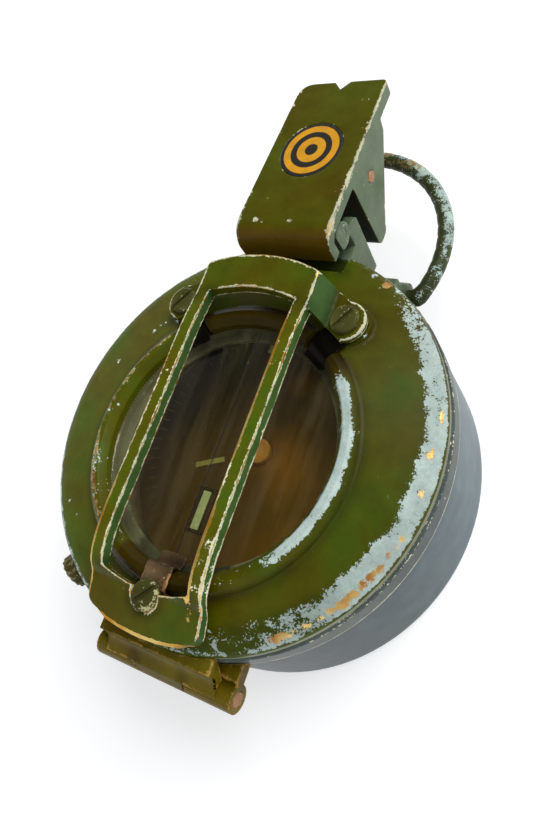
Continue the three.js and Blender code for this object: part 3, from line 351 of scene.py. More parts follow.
def matt_finish(name, dark, light, scale, roughness):
    """Plain matt finish with a fine grain."""
    finish, tree = new_finish(name)
    place = put(tree, "ShaderNodeTexCoord").outputs["Object"]
    grain = noise(tree, place, scale, 5, 0.6)
    bump = put(tree, "ShaderNodeBump", {"Strength": 0.2, "Distance": grain_depth, "Height": grain})
    shader = put(tree, "ShaderNodeBsdfPrincipled", {
        "Base Color": ramp(tree, grain, [(0.3, dark), (0.7, light)]), "Roughness": roughness,
        "Normal": bump.outputs[0]})
    put(tree, "ShaderNodeOutputMaterial", {"Surface": shader.outputs[0]})
    return finish


def clear_glass(name, color, reflection, roughness, dust=0.0):
    """Thin pane: see-through, with a mirror image that grows towards the rim of sight, and wiped dust."""
    finish, tree = new_finish(name)
    through = put(tree, "ShaderNodeBsdfTransparent", {"Color": color})
    shine = put(tree, "ShaderNodeBsdfGlossy", {"Roughness": roughness})
    fresnel = put(tree, "ShaderNodeFresnel", {"IOR": glass_index}).outputs[0]
    share = math_of(tree, "MULTIPLY", fresnel, reflection)
    pane = put(tree, "ShaderNodeMixShader", {0: share, 1: through.outputs[0], 2: shine.outputs[0]})
    place = put(tree, "ShaderNodeTexCoord").outputs["Object"]
    wiped = put(tree, "ShaderNodeMapping", {"Vector": place, "Scale": (1.0, 0.12, 1.0)}).outputs[0]
    smear = span(tree, noise(tree, wiped, 420, 4, 0.6), 0.45, 0.75, 0.0, dust)
    speck = span(tree, noise(tree, place, 1500, 2, 0.5), 0.76, 0.8, 0.0, 5 * dust)
    haze = put(tree, "ShaderNodeBsdfDiffuse", {"Color": dust_color})
    cover = math_of(tree, "ADD", smear, speck)
    pane = put(tree, "ShaderNodeMixShader", {0: cover, 1: pane.outputs[0], 2: haze.outputs[0]})
    put(tree, "ShaderNodeOutputMaterial", {"Surface": pane.outputs[0]})
    return finish


def wear_finish(name, finish):
    """Gives a CAD node that stays as it is a finish of its own."""
    shape = frame["nodes"][name].data
    shape.materials.clear()
    shape.materials.append(finish)


rubber = matt_finish("gasket_rubber", srgb(20, 20, 20), srgb(34, 34, 33), 900, 0.8)
capsule_pane = clear_glass("capsule_pane", (0.97, 0.94, 0.86, 1), 0.08, 0.05)
wear_finish("capsule_gasket", rubber)
wear_finish("capsule_glass", capsule_pane)

# Pivot and card: a steel needle carries the card by a jewelled cap, with two bar magnets below.
# The card is a dark disc under aged liquid, with painted light and shade on it, a printed degree ring and a
# luminous bar.
_, card_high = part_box("compass_card")
card_radius = card_high.x
card_top = card_high.z
# Painted light: two amber glow spots on the card.
wide_painted_glow = ((0.0037, -0.0018, card_top), 0.008, srgb(172, 130, 54))
small_painted_glow = ((0.0029, 0.0131, card_top), 0.003, srgb(156, 126, 28))
tick_count = 72
tick_length = 0.0026
tick_width = 0.00028
tick_height = 0.00003
long_tick_every = 3.0
short_tick_share = 0.55


def card_liquid_and_painted_light():
    """Dark brown card under aged liquid, with painted light: amber to the right and in two glow spots, and
    painted shade near black towards the prism.
    """
    finish, tree = new_finish("card_under_liquid_with_painted_light")
    place = put(tree, "ShaderNodeTexCoord").outputs["Object"]
    split = put(tree, "ShaderNodeSeparateXYZ", {"Vector": place})
    # Painted light and shade: amber towards the right, near black towards the prism.
    to_right = math_of(tree, "MULTIPLY", split.outputs[0], 22)
    to_prism = math_of(tree, "MULTIPLY", split.outputs[1], 20)
    across = math_of(tree, "SUBTRACT", to_right, to_prism)
    cloud = math_of(tree, "SUBTRACT", noise(tree, place, 75, 4, 0.6), 0.5)
    painted_light_level = math_of(tree, "ADD", across, 0.5)
    painted_light_level = math_of(tree, "ADD", painted_light_level, math_of(tree, "MULTIPLY", cloud, 0.9))
    color = ramp(tree, painted_light_level, [(0.0, srgb(54, 48, 14)), (0.4, srgb(84, 72, 18)), (0.75, srgb(106, 90, 22)),
                               (1.0, srgb(126, 104, 30))])
    for spot, reach, glow in (wide_painted_glow, small_painted_glow):
        away = put(tree, "ShaderNodeVectorMath", {0: place, 1: spot}, operation="DISTANCE").outputs["Value"]
        painted_glow = math_of(tree, "MULTIPLY", span(tree, away, 0.0, reach, 1.0, 0.0),
                          span(tree, cloud, -0.15, 0.15, 0.3, 1.0))
        color = tint(tree, painted_glow, color, glow)
    shader = put(tree, "ShaderNodeBsdfPrincipled", {"Base Color": color, "Roughness": 0.35})
    put(tree, "ShaderNodeOutputMaterial", {"Surface": shader.outputs[0]})
    return finish


def ring_of_ticks(name, finish, count, radius, size, height):
    """Geometry Nodes: small blocks set round a circle, with every third one long."""
    tree = bpy.data.node_groups.new(name, "GeometryNodeTree")
    tree.is_modifier = True
    sizes = {"Count": ("NodeSocketInt", count), "Radius": ("NodeSocketFloat", radius),
             "Tick size": ("NodeSocketVector", size), "Height": ("NodeSocketFloat", height)}
    keys = {}
    for label, (kind, _) in sizes.items():
        keys[label] = tree.interface.new_socket(label, in_out="INPUT", socket_type=kind).identifier
    tree.interface.new_socket("Geometry", in_out="OUTPUT", socket_type="NodeSocketGeometry")
    given = tree.nodes.new("NodeGroupInput").outputs
    circle = put(tree, "GeometryNodeMeshCircle", {"Vertices": given["Count"], "Radius": given["Radius"]})
    lift = put(tree, "ShaderNodeCombineXYZ", {2: given["Height"]})
    raised = put(tree, "GeometryNodeTransform", {
        "Geometry": circle.outputs[0], "Translation": lift.outputs[0]})
    tick = put(tree, "GeometryNodeMeshCube", {"Size": given["Tick size"]})
    index = put(tree, "GeometryNodeInputIndex").outputs[0]
    turn_of_three = math_of(tree, "MODULO", index, long_tick_every)
    long_tick = math_of(tree, "LESS_THAN", turn_of_three, 0.5)
    stretch = span(tree, long_tick, 0.0, 1.0, short_tick_share, 1.0)
    scale = put(tree, "ShaderNodeCombineXYZ", {0: stretch, 1: 1.0, 2: 1.0})
    spot = put(tree, "GeometryNodeInputPosition").outputs[0]
    flat = put(tree, "ShaderNodeVectorMath", {0: spot, 1: (1.0, 1.0, 0.0)}, operation="MULTIPLY")
    aim = put(tree, "FunctionNodeAlignRotationToVector", {"Vector": flat.outputs[0]},
              axis="X", pivot_axis="Z")
    ring = put(tree, "GeometryNodeInstanceOnPoints", {
        "Points": raised.outputs[0], "Instance": tick.outputs[0], "Rotation": aim.outputs[0],
        "Scale": scale.outputs[0]})
    real = put(tree, "GeometryNodeRealizeInstances", {"Geometry": ring.outputs[0]})
    colored = put(tree, "GeometryNodeSetMaterial", {"Geometry": real.outputs[0], "Material": finish})
    put(tree, "NodeGroupOutput", {0: colored.outputs[0]})
    maker = bpy.data.objects.new(name, bpy.data.meshes.new(name))
    bpy.context.scene.collection.objects.link(maker)
    modifier = maker.modifiers.new(name, "NODES")
    modifier.node_group = tree
    for label, (_, value) in sizes.items():
        modifier[keys[label]] = value
    ready = maker.evaluated_get(bpy.context.evaluated_depsgraph_get())
    mesh = bpy.data.meshes.new_from_object(ready)
    maker.modifiers.clear()
    maker.data = mesh
    return maker


steel = matt_finish("needle_steel", srgb(112, 114, 116), srgb(132, 134, 136), 900, 0.35)
lume = matt_finish("luminous_green", srgb(150, 168, 112), srgb(186, 204, 150), 1500, 0.5)
print_ink = matt_finish("card_print", srgb(92, 74, 38), srgb(120, 98, 52), 700, 0.6)
jewel_coat = (srgb(206, 162, 92), srgb(224, 184, 112), srgb(236, 204, 140))
jewel_brass = worn_paint_with_shade("jewel_brass", jewel_coat, srgb(236, 214, 160), brass, gloss=0.3)
wear_finish("pivot_post", steel)
wear_finish("magnet_left", steel)
wear_finish("magnet_right", steel)
dress("jewel_cap", jewel_brass, bevel=0.06, spacing=0.6)
wear_finish("card_mark", lume)
wear_finish("compass_card", card_liquid_and_painted_light())
degree_ring = ring_of_ticks("degree_ring", print_ink, tick_count, card_radius - tick_length,
                            (tick_length, tick_width, tick_height), card_top + tick_height / 2)
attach(degree_ring, "card")

# Band: a turned ring that clamps the capsule and guides the direction ring.
# It is sprayed a little greener than the case, and its lower edge is rubbed to a pale line.
band_coat = (srgb(64, 73, 71), srgb(72, 81, 77), srgb(80, 88, 82))
band_paint = worn_paint_with_shade("band_grey", band_coat, srgb(196, 194, 168), brass, flank=srgb(64, 76, 24),
                        reach=0.3, edge_primer=0.45, edge_metal=0.2)
band_low, band_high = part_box("bezel_ring")
lower_line_z = (0, band_low.z * 1000 + 0.55, 0.15)
wall_reach = 33.8
top_layer = 1
shadow_front = 24
shadow_half_width = 18
shadow_soot = 0.55


def under_prism(points):
    """Where the band lies in the prism unit's shadow."""
    return (points[:, 1] > shadow_front) & (np.abs(points[:, 0]) < shadow_half_width)


def band_wear_and_shade(points):
    """A pale line along the lower edge, and painted shade on the top under the prism unit."""
    x, y, z = points.T
    top = z > band_high.z * 1000 - top_layer
    lower_edge = pulse(z, *lower_line_z) * (np.hypot(x, y) > wall_reach)
    return {"rub": lower_edge, "dirt_and_shade": shadow_soot * (under_prism(points) & top)}


def band_flank(normals, centres):
    """The band's top under the prism unit, where the paint stayed green."""
    return under_prism(centres) & (normals[:, 2] > 0.5)


dress("bezel_ring", band_paint, spacing=0.8, facets=turned_facets, wear=band_wear_and_shade, flank=band_flank)

# Direction ring: a grey-green milled ring with its own glass and a luminous strip on the glass.
# It turns in the band under the lid.
ring_coat = (srgb(104, 104, 74), srgb(116, 116, 84), srgb(124, 122, 92))
ring_paint = worn_paint_with_shade("ring_grey_green", ring_coat, srgb(150, 150, 120), brass,
                        edge_primer=0.2, edge_metal=0.1)
dress("direction_ring", ring_paint, bevel=0.1, spacing=2.0, facets=inner_facets)
wear_finish("direction_glass", clear_glass("direction_pane", (0.98, 0.96, 0.9, 1), 0.08, 0.04))
wear_finish("direction_strip", lume)

# Clamp screw: a small fluted brass knob beside the hinge, which stops the direction ring.
# It is turned, painted olive, and rubbed to dull metal on its flutes.
knob_coat = (srgb(70, 62, 26), srgb(84, 76, 34), srgb(70, 72, 34))
knob_metal = (srgb(150, 120, 66), srgb(176, 146, 90))
knob_paint = worn_paint_with_shade("knob_olive", knob_coat, srgb(128, 118, 84), knob_metal, edge_primer=0.6)
dress("clamp_screw", knob_paint, bevel=0.12, spacing=1.0)

# Lid shell: a domed brass lid, sprayed olive, with a raised ring round its window.
# The right of the rim and of the ring is rubbed to the pale primer, and in spots to brass.
olive = (srgb(77, 72, 2), srgb(74, 78, 4), srgb(66, 85, 9))
window_y = -3.0
ring_foot = 23.45
lip_reach = 21
lip_z = 27.8
shoulder_z = 25.2
shoulder_rise = 0.8
rim_reach = (32.0, 33.2, 2.2)
rim_turn = (-20, 30, 40)
speckled_reach = (30.8, 33.6, 1.6)
speckled_turn = (-80, -30, 18)
left_rim_reach = (33.2, 34.6, 0.5)
left_rim_turn = (125, 200, 20)
crest_reach = (21.3, 22.1, 1.0)
crest_turn = (-20, 22, 44)
crest_z = 29.2
left_crest_reach = (21.6, 22.7, 0.5)
left_crest_turn = (140, 200, 25)
left_crest_z = 29.0
ring_zone = (0, ring_foot - 0.4, 0.4)
guard_shadow_x = (0, 8.2, 0.8)
arch_shadow_turn = (45, 125, 12)
streak_turn = (-54, -18, 10)
streak_reach = 32.9
streak_width = 0.9
hinge_side_turn = (-110, -50, 30)
hinge_side_reach = (31, 40, 2)
brass_spots = ((5, 3.0, 32.3, 1.0), (-5, 2.6, 32.7, 0.8), (14, 4, 33.1, 0.5))
pale_chips = ((15.0, 29.3, 0.6), (-26.8, 7.3, 0.6), (-21.1, 13.8, 0.5), (-25.0, -18.2, 0.5))
gold_chips = ((17.6, 27.9, 0.9),)
lid_radius = 34


def chips_at(points, chips):
    """1 at the middle of each round chip, given as x, y and radius, falling off outside it."""
    away = [np.hypot(points[:, 0] - x, points[:, 1] - y) / radius for x, y, radius in chips]
    return np.exp(-np.min(away, axis=0) ** 4)


def lid_wear_and_shade(points):
    """Rubbed rim and crest, brown painted shade and less rubbing on the ring under the guard and the arch,
    brass spots, chips, and darker paint by the hinge and towards the right.
    A brass spot has its turn and width in degrees, then its reach and depth in millimetres."""
    x, y, z = points.T
    reach = np.hypot(x, y)
    turn = np.degrees(np.arctan2(y, x))
    ring_reach = np.hypot(x, y - window_y)
    ring_turn = np.degrees(np.arctan2(y - window_y, x))
    top = np.clip((z - shoulder_z) / shoulder_rise, 0, 1)
    rim = pulse(reach, *rim_reach) * pulse(turn, *rim_turn) * top
    speckled = pulse(reach, *speckled_reach) * pulse(turn, *speckled_turn) * top
    left_rim = pulse(reach, *left_rim_reach) * pulse(np.abs(turn), *left_rim_turn) * top
    crest = pulse(ring_reach, *crest_reach) * pulse(ring_turn, *crest_turn) * (z > crest_z)
    left_crest = pulse(ring_reach, *left_crest_reach) * pulse(np.abs(ring_turn), *left_crest_turn)
    left_crest = left_crest * (z > left_crest_z)
    on_ring = pulse(ring_reach, *ring_zone)
    sheltered = on_ring * pulse(np.abs(x), *guard_shadow_x)
    behind_arch = on_ring * pulse(ring_turn, *arch_shadow_turn)
    # Painted shade: the ring under the guard bars and the arch is darkened and browned.
    dark = np.maximum(sheltered, behind_arch)
    spots = sum(np.exp(-((turn - at) / wide) ** 2 - ((reach - middle) / deep) ** 2)
                for at, wide, middle, deep in brass_spots)
    streak = pulse(turn, *streak_turn) * np.exp(-((reach - streak_reach) / streak_width) ** 2)
    hinge_side = pulse(turn, *hinge_side_turn) * pulse(reach, *hinge_side_reach) * top
    pale = chips_at(points, pale_chips)
    gold = chips_at(points, gold_chips)
    return {"rub": (0.78 * rim + 0.42 * speckled + 0.45 * left_rim + 0.74 * crest + 0.18 * left_crest
                    + 0.8 * pale - 0.6 * dark),
            "bare": 0.62 * spots + 0.6 * streak + 0.8 * gold + 0.44 * left_crest,
            "dirt_and_shade": 0.62 * dark + 0.3 * hinge_side + 0.24 * x / lid_radius, "stain_and_shade": 0.75 * dark}


def lid_flank(normals, centres):
    """The lid's outer wall and the lip under the pane, which are grey-green."""
    wall = (np.abs(normals[:, 2]) < 0.3) & (centres[:, 2] < shoulder_z)
    lip = (np.hypot(centres[:, 0], centres[:, 1] - window_y) < lip_reach) & (centres[:, 2] < lip_z)
    return wall | lip


lid_paint = worn_paint_with_shade("lid_olive", olive, primer, brass, flank=srgb(132, 136, 110), edge_primer=0.26,
                       edge_metal=0.1)
dress("lid_shell", lid_paint, bevel=0.2, spacing=0.8, facets=turned_facets,
      axis_y=(window_y / 1000, ring_foot / 1000), wear=lid_wear_and_shade, flank=lid_flank)

# Lid glass: a round pane held by three clips, with a fine black hairline cut across it.
# A luminous strip in a dark brown holder hangs under the pane on the hairline.
wear_finish("lid_glass", clear_glass("window_pane", (0.96, 0.94, 0.86, 1), 0.4, 0.03, 0.06))
black = matt_finish("line_black", srgb(10, 10, 9), srgb(18, 18, 15), 800, 0.9)
holder_coat = (srgb(66, 54, 26), srgb(74, 62, 30), srgb(82, 68, 34))
holder_paint = worn_paint_with_shade("holder_brown", holder_coat, srgb(24, 22, 14), brass, reach=0.2,
                          edge_primer=0.9, edge_metal=0)
dress("lume_holder", holder_paint, bevel=0, spacing=0.5)
wear_finish("lume_strip", lume)
glass_low, glass_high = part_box("lid_glass")
hairline_width = 0.00015
hairline_depth = 0.00002
hairline_margin = 0.0004
hairline_length = glass_high.y - glass_low.y - 2 * hairline_margin
hairline_middle = Vector((0, (glass_low.y + glass_high.y) / 2, glass_high.z + hairline_depth / 2))
hairline_size = Matrix.Diagonal((hairline_width, hairline_length, hairline_depth, 1))
hairline_mesh = bpy.data.meshes.new("hairline")
hairline_shape = bmesh.new()
bmesh.ops.create_cube(hairline_shape, size=1, matrix=Matrix.Translation(hairline_middle) @ hairline_size)
hairline_shape.to_mesh(hairline_mesh)
hairline_shape.free()
hairline_mesh.materials.append(black)
hairline = bpy.data.objects.new("hairline", hairline_mesh)
bpy.context.scene.collection.objects.link(hairline)
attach(hairline, "lid")

# Clips and screws: bent bronze leaf springs that hold the pane, each under a slotted screw.
# The bronze has gone nearly black, but the front clip is rubbed and the screw heads have light rims.
# The front clip's light brown and its copper bend are partly painted highlight.
clip_metal = (srgb(170, 124, 80), srgb(206, 164, 116))
black_coat = (srgb(24, 22, 17), srgb(34, 30, 22), srgb(52, 44, 30))
black_bronze = worn_paint_with_shade("clip_black_bronze", black_coat, srgb(96, 76, 46), clip_metal, coat_metal=0.5,
                          gloss=0.3, reach=0.5, edge_primer=0.5)
# The front clip's light brown coat is partly rubbed bronze and partly painted highlight.
rubbed_coat_and_highlight = (srgb(86, 70, 48), srgb(118, 96, 68), srgb(156, 126, 90))
rubbed_bronze_and_highlight = worn_paint_with_shade("clip_rubbed_bronze_and_highlight", rubbed_coat_and_highlight, srgb(186, 150, 106), clip_metal,
                           coat_metal=0.35, gloss=0.3, reach=0.6, edge_primer=0.5)
clip_finish = {"left": black_bronze, "right": black_bronze, "front": rubbed_bronze_and_highlight}
screw_coat = (srgb(70, 68, 30), srgb(82, 82, 38), srgb(92, 92, 46))
screw_metal = (srgb(190, 168, 112), srgb(216, 202, 156))
screw_bronze = worn_paint_with_shade("screw_bronze", screw_coat, srgb(172, 166, 122), screw_metal, gloss=0.34,
                          reach=0.3, edge_primer=0.48, edge_metal=0.22)
slot_turn = {"left": -35, "right": -34, "front": -42}
front_bend_copper_and_highlight_y = (-26.2, -23.8, 0.5)
over_pane_y = (-22.6, 40, 0.6)


def turned(place):
    """Turns a screw about its own axis, so that its slot lies as tightened."""
    low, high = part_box("lid_screw_" + place)
    middle = np.array((low + high) / 2) * 1000
    spin = np.array(Matrix.Rotation(math.radians(slot_turn[place]), 3, "Z"))
    return lambda points: (points - middle) @ spin.T + middle


def clip_wear_and_highlight(points):
    """Dark over the pane, and copper on the front clip's bend, partly rubbed metal and partly painted
    highlight.
    """
    y = points[:, 1]
    return {"dirt_and_shade": 0.6 * pulse(y, *over_pane_y), "bare": 0.4 * pulse(y, *front_bend_copper_and_highlight_y)}


for place in ("left", "right", "front"):
    dress("glass_clip_" + place, clip_finish[place], bevel=0, spacing=0.4, soften=10, wear=clip_wear_and_highlight)
    dress("lid_screw_" + place, screw_bronze, bevel=0.08, spacing=0.9, reshape=turned(place))

# Guard: a pressed brass strip bowed over the pane, opened into two bars, with an arch and two ears.
# It is sprayed olive over all, and its edges are rubbed to bright brass by the pocket.
# Brass along the right bar's inner edge is partly painted highlight.
bar_inner = 8.0
bar_outer = 10.25
pad_corner_y = -31.8
pad_round = 2.0
pad_flat = 6.0
pad_edge_reach = (33.0, 34.5, 0.3)
pad_end_y = -20
bar_x = (bar_inner - 0.2, bar_outer + 0.2, 0.1)
bar_y = (-24, 15, 3)
near_pad_y = (-27.5, -15, 4)
inner_edge_x = (bar_inner - 0.2, bar_inner + 0.5, 0.4)
inner_wear_and_highlight_x = (bar_inner - 0.2, bar_inner + 0.3, 0.3)
inner_wear_and_highlight_y = (-5, 14, 3)
outer_edge_x = (-bar_outer - 0.2, -bar_outer + 0.4, 0.3)
right_top_x = (bar_inner - 0.2, bar_outer + 0.2, 0.2)
right_top_y = (-24, -18, 2)
ear_reach = (24.5, 27.2, 0.5)
ear_x = (13, 19, 1.0)
blend_x = (10.8, 15, 0.5)
blend_y = (12, 25, 1.0)


def guard_wear_and_highlight(points):
    """Brass on the pad's edge and along the bars, partly a painted highlight on the right bar's inner edge,
    and whole paint where the arch runs into its ears.
    """
    x, y = points.T[:2]
    reach = np.hypot(x, y)
    pad = pulse(reach, *pad_edge_reach) * (y < pad_end_y)
    right_bar = pulse(x, *inner_edge_x) * pulse(y, *near_pad_y)
    # Partly worn brass and partly painted highlight along the right bar's inner edge.
    right_bar = right_bar + 0.7 * pulse(x, *inner_wear_and_highlight_x) * pulse(y, *inner_wear_and_highlight_y)
    right_top = pulse(x, *right_top_x) * pulse(y, *right_top_y)
    left_bar = pulse(x, *outer_edge_x) * pulse(y, *near_pad_y)
    ear = pulse(reach, *ear_reach) * pulse(x, *ear_x)
    blend = pulse(np.abs(x), *blend_x) * pulse(y, *blend_y)
    bars = pulse(np.abs(x), *bar_x) * pulse(y, *bar_y)
    return {"rub": 0.3 * right_top + 0.2 * ear - 0.6 * blend, "dirt_and_shade": -0.22 * bars,
            "bare": 0.95 * pad + 0.5 * right_bar + 0.4 * left_bar - 0.6 * blend}


def guard_flank(normals, centres):
    """The sides of the strip, which are greener than its top."""
    return np.abs(normals[:, 0]) > 0.7


def round_pad(points):
    """Rounds the two outer corners of the pad."""
    x, y, z = points.T
    painted_light_level = np.clip(pad_corner_y + pad_round - y, 0, pad_round)
    limit = bar_outer - pad_round + np.sqrt(pad_round ** 2 - painted_light_level ** 2)
    over = np.clip(np.abs(x) - pad_flat, 0, None) * (limit - pad_flat) / (bar_outer - pad_flat)
    return np.stack([np.sign(x) * (np.minimum(np.abs(x), pad_flat) + over), y, z], axis=1)


guard_coat = (srgb(78, 70, 3), srgb(75, 79, 6), srgb(64, 84, 12))
guard_metal = (srgb(210, 150, 50), srgb(240, 210, 128))
guard_paint = worn_paint_with_shade("guard_olive", guard_coat, srgb(206, 206, 176), guard_metal,
                         flank=srgb(58, 84, 38), reach=0.52, edge_primer=0.95, edge_metal=0.66)
dress("guard_bridge", guard_paint, bevel=0.2, spacing=0.7, soften=5, wear=guard_wear_and_highlight, reshape=round_pad,
      flank=guard_flank)

# Hinge: two outer knuckles on the band, the middle one on the lid's leaf, on one copper-coloured pin.
# Handling has turned its paint brown, with dull gold along the knuckles.
hinge_coat = (srgb(80, 66, 4), srgb(98, 82, 8), srgb(104, 94, 16))
hinge_metal = (srgb(178, 138, 56), srgb(206, 168, 86))
hinge_paint = worn_paint_with_shade("hinge_brown", hinge_coat, srgb(146, 116, 48), hinge_metal, gloss=0.33, reach=0.6,
                         edge_primer=0.66, edge_metal=0.46)
copper_coat = (srgb(120, 82, 54), srgb(162, 120, 88), srgb(186, 146, 112))
copper_metal = (srgb(186, 128, 88), srgb(206, 160, 122))
copper = worn_paint_with_shade("pin_copper", copper_coat, srgb(196, 160, 128), copper_metal, gloss=0.36)
leaf_top_y = -34.9
leaf_top_z = 24.9
leaf_foot_y = -37.8
leaf_foot_z = 21.3
leaf_hollow = 0.9
leaf_skin = 0.4


def hollow_leaf(points):
    """Sinks the leaf's sloping face to the hollow that leads from the lid to the knuckles."""
    slope = np.array((leaf_foot_y - leaf_top_y, leaf_foot_z - leaf_top_z))
    length = np.hypot(*slope)
    inward = np.array((-slope[1], slope[0])) / length
    offset = points[:, 1:] - (leaf_top_y, leaf_top_z)
    share = offset @ slope / length ** 2
    near = np.abs(offset @ inward) < leaf_skin
    sink = leaf_hollow * np.sin(math.pi * np.clip(share, 0, 1)) * near
    moved = points.copy()
    moved[:, 1:] += sink[:, None] * inward
    return moved


dress("lid_hinge_leaf", hinge_paint, bevel=0.15, spacing=0.7, soften=1, reshape=hollow_leaf)
dress("case_hinge_leaf", hinge_paint, bevel=0.2, spacing=0.8)
dress("hinge_pin", copper, bevel=0.2, spacing=1.0)

# Prism bracket and unit: a folded leaf with a V notch swings on a pin between two cheeks.
# Its leaf is olive, its sides grey-green, and its right edge is rubbed to cream and brass.
_, prism_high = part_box("prism_holder")
leaf_right = prism_high.x * 1000
pin_reach = 8.27
far_from_shaded_corners = 9.0
right_edge_x = (leaf_right - 0.3, leaf_right + 0.1, 0.25)
right_edge_z = 32.0
heel_x = (leaf_right - 1.2, leaf_right + 0.1, 0.5)
heel_y = (30, 34.0, 1.5)
heel_z = 31
box_wall = 0.3
box_front = 33.5
box_back = 46
box_z = 31.0
left_edge_x = (-20, -leaf_right - 0.1, 0.4)
left_edge_y = (30, 36, 2.0)
left_edge_z = 30.5
leaf_chips = ((0.9, 34.2, 0.5), (-5.8, 34.0, 0.6), (-4.3, 33.7, 0.35))
bend_front = 33.6
bend_fade = 1.6
bend_foot = 26
bend_rise = 3


def without_corner_shade(points):
    """A piece without painted shade in its corners."""
    return {"corner_shade_mm": np.full(len(points), far_from_shaded_corners)}


def leaf_wear_and_shade(points):
    """Pale right edge and heel, chips by the notch, painted shade inside the box, and a brown bend."""
    x, y, z = points.T
    right = pulse(x, *right_edge_x) * (z > right_edge_z)
    heel = pulse(x, *heel_x) * pulse(y, *heel_y) * (z > heel_z)
    # Painted shade inside the box.
    inside = (np.abs(x) < leaf_right - box_wall) * (z < box_z) * (y > box_front) * (y < box_back)
    chips = chips_at(points, leaf_chips) * (z > right_edge_z)
    left = pulse(x, *left_edge_x) * pulse(y, *left_edge_y) * (z > left_edge_z)
    bend = np.clip((bend_front - y) / bend_fade, 0, 1) * np.clip((z - bend_foot) / bend_rise, 0, 1)
    return {"rub": 0.5 * right + 0.3 * heel + 0.7 * chips + 0.4 * left, "bare": 0.25 * right + 0.3 * heel,
            "dirt_and_shade": 0.85 * inside, "stain_and_shade": 0.85 * bend, **without_corner_shade(points)}


def leaf_flank(normals, centres):
    """The sides and the underside of the folded leaf."""
    return (np.abs(normals[:, 0]) > 0.6) | (normals[:, 2] < -0.3)


def shorten_pin(points):
    """Draws the pin's two ends in to its reach."""
    return np.column_stack((np.clip(points[:, 0], -pin_reach, pin_reach), points[:, 1:]))


grey_green = (srgb(82, 96, 74), srgb(94, 108, 84), srgb(104, 116, 92))
leaf_coat = (srgb(74, 66, 4), srgb(74, 73, 5), srgb(74, 80, 9))
leaf_metal = (srgb(206, 160, 80), srgb(236, 222, 176))
leaf_paint = worn_paint_with_shade("leaf_olive", leaf_coat, srgb(200, 198, 168), leaf_metal, flank=grey_green[1],
                        reach=0.5, edge_primer=0.34, edge_metal=0.2)
bracket_paint = worn_paint_with_shade("bracket_grey_green", grey_green, srgb(150, 162, 140), brass, reach=0.4)
dress("prism_holder", leaf_paint, bevel=0.18, spacing=1.0, wear=leaf_wear_and_shade, flank=leaf_flank)
dress("prism_bracket", bracket_paint, bevel=0.12, spacing=1.2, wear=without_corner_shade)
dress("prism_cover", bracket_paint, bevel=0.1, spacing=1.5)
dress("prism_pin", bracket_paint, bevel=0.12, spacing=1.2, wear=without_corner_shade, reshape=shorten_pin)
for side in ("left", "right"):
    dress("prism_rivet_" + side, copper, bevel=0.15, spacing=0.8)
wear_finish("prism", clear_glass("prism_glass", (0.9, 0.92, 0.88, 1), 1.0, 0.02))
wear_finish("eye_lens", clear_glass("lens_glass", (0.92, 0.93, 0.9, 1), 1.0, 0.02))

# Leaf disc: a thin round disc of painted metal, let into the leaf.
# It is printed with plain amber and black rings, and a little scuffed.
disc_low, disc_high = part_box("leaf_disc")
disc_middle = (disc_low + disc_high) / 2
disc_radius = (disc_high.x - disc_low.x) / 2


def printed_rings():
    """Amber and black rings about the disc's middle."""
    finish, tree = new_finish("disc_rings")
    place = put(tree, "ShaderNodeTexCoord").outputs["Object"]
    centred = put(tree, "ShaderNodeMapping", {"Vector": place, "Location": -disc_middle}).outputs[0]
    reach = put(tree, "ShaderNodeVectorMath", {0: centred}, operation="LENGTH").outputs["Value"]
    share = math_of(tree, "DIVIDE", reach, disc_radius)
    rough = math_of(tree, "SUBTRACT", noise(tree, place, 900, 4, 0.6), 0.5)
    wobble = math_of(tree, "MULTIPLY", rough, 0.03)
    ink = srgb(26, 25, 18)
    amber = srgb(214, 150, 8)
    rings = ramp(tree, math_of(tree, "ADD", share, wobble), [
        (0.0, ink), (0.2, ink), (0.22, amber), (0.46, amber), (0.48, ink), (0.66, ink), (0.68, amber),
        (0.88, amber), (0.9, ink), (1.0, ink)])
    scuff = span(tree, noise(tree, place, 420, 7, 0.7), 0.35, 0.7, 0.8, 1.1)
    color = shaded(tree, rings, scuff)
    shader = put(tree, "ShaderNodeBsdfPrincipled", {"Base Color": color, "Roughness": 0.4})
    put(tree, "ShaderNodeOutputMaterial", {"Surface": shader.outputs[0]})
    return finish


dress("leaf_disc", printed_rings(), bevel=0.08, spacing=1.0)

# Thumb bail: a wire loop that hinges in two lugs on the case wall.
# Its olive paint is patchy, with primer on the outside of the bend and brass at the far end.
bail_radius = 19.4
bail_middle = 41.8
bend_y = (46, 60, 5)
root_y = (30, 44, 4)
far_y = (59.5, 64, 4)
outer_start = 0.5
outer_rise = 0.8
all_over = 0.14


def bail_wear(points):
    """Primer on the outside of the right half, and bare brass at the far end."""
    x, y = points.T[:2]
    outside = np.hypot(x, y - bail_middle) - bail_radius
    outer = np.clip((outside + outer_start) / outer_rise, 0, 1)
    bend = pulse(y, *bend_y) * (x > 0)
    root = pulse(y, *root_y) * (x > 0)
    return {"rub": 0.36 * outer * bend + 0.12 * bend + 0.2 * outer * root + all_over,
            "bare": 0.52 * pulse(y, *far_y)}


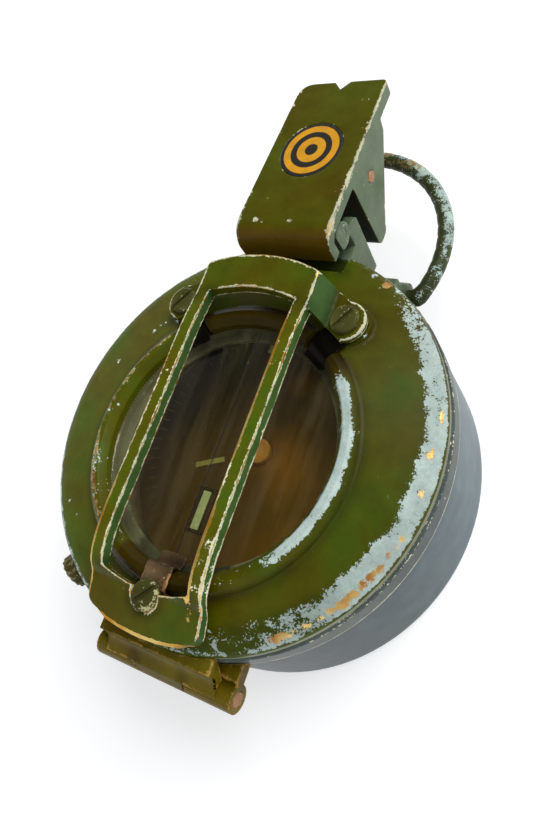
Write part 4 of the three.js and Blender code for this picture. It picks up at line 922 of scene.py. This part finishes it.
bail_coat = (srgb(48, 52, 28), srgb(58, 64, 36), srgb(72, 76, 46))
bail_metal = (srgb(136, 114, 66), srgb(164, 142, 92))
bail_paint = worn_paint_with_shade("bail_olive", bail_coat, srgb(164, 182, 174), bail_metal, reach=0.4)
dress("thumb_bail", bail_paint, bevel=0, spacing=1.0, fold=100, soften=3, wear=bail_wear)
for side in ("left", "right"):
    dress("bail_lug_" + side, bracket_paint, bevel=0.2, spacing=1.2)

# Floor and light: a plain white floor under a soft sky, with one large light behind to the right.
# The sky is dimmer where the lid glass would mirror it.
bpy.ops.mesh.primitive_plane_add(size=4)
floor = bpy.context.object
floor.name = "floor"
paper, paper_tree = new_finish("paper_white")
paper_shader = put(paper_tree, "ShaderNodeBsdfPrincipled", {
    "Base Color": (0.6, 0.6, 0.61, 1), "Roughness": 0.9, "Emission Color": (1, 1, 1, 1),
    "Emission Strength": 0.5})
put(paper_tree, "ShaderNodeOutputMaterial", {"Surface": paper_shader.outputs[0]})
floor.data.materials.append(paper)
mirrored_way = (-0.51, 0.25, 0.82)
mirrored_level = 0.24
overhead_level = 0.85
sky = bpy.data.worlds.new("studio_sky")
sky.use_nodes = True
sky_tree = sky.node_tree
sky_tree.nodes.clear()
toward = put(sky_tree, "ShaderNodeTexCoord").outputs["Generated"]
mirrored = put(sky_tree, "ShaderNodeVectorMath", {0: toward, 1: mirrored_way}, operation="DOT_PRODUCT")
height = put(sky_tree, "ShaderNodeSeparateXYZ", {"Vector": toward}).outputs[2]
level = math_of(sky_tree, "MULTIPLY", span(sky_tree, height, 0.0, 0.3, 1.0, overhead_level),
                span(sky_tree, mirrored.outputs["Value"], 0.55, 0.9, 1.0, mirrored_level))
background = put(sky_tree, "ShaderNodeBackground", {"Color": (0.97, 0.985, 1, 1), "Strength": level})
put(sky_tree, "ShaderNodeOutputWorld", {"Surface": background.outputs[0]})
bpy.context.scene.world = sky
lit_spot = Vector((0, 0, 0.02))
key_light = bpy.data.objects.new("key_light", bpy.data.lights.new("key_light", "AREA"))
key_light.data.size = 0.5
key_light.data.energy = 4.0
key_light.location = (0.3, 0.4, 0.6)
key_light.rotation_euler = (lit_spot - key_light.location).to_track_quat("-Z", "Y").to_euler()
bpy.context.scene.collection.objects.link(key_light)
bpy.context.scene.view_settings.view_transform = "Standard"
bpy.context.scene.cycles.transparent_max_bounces = 32
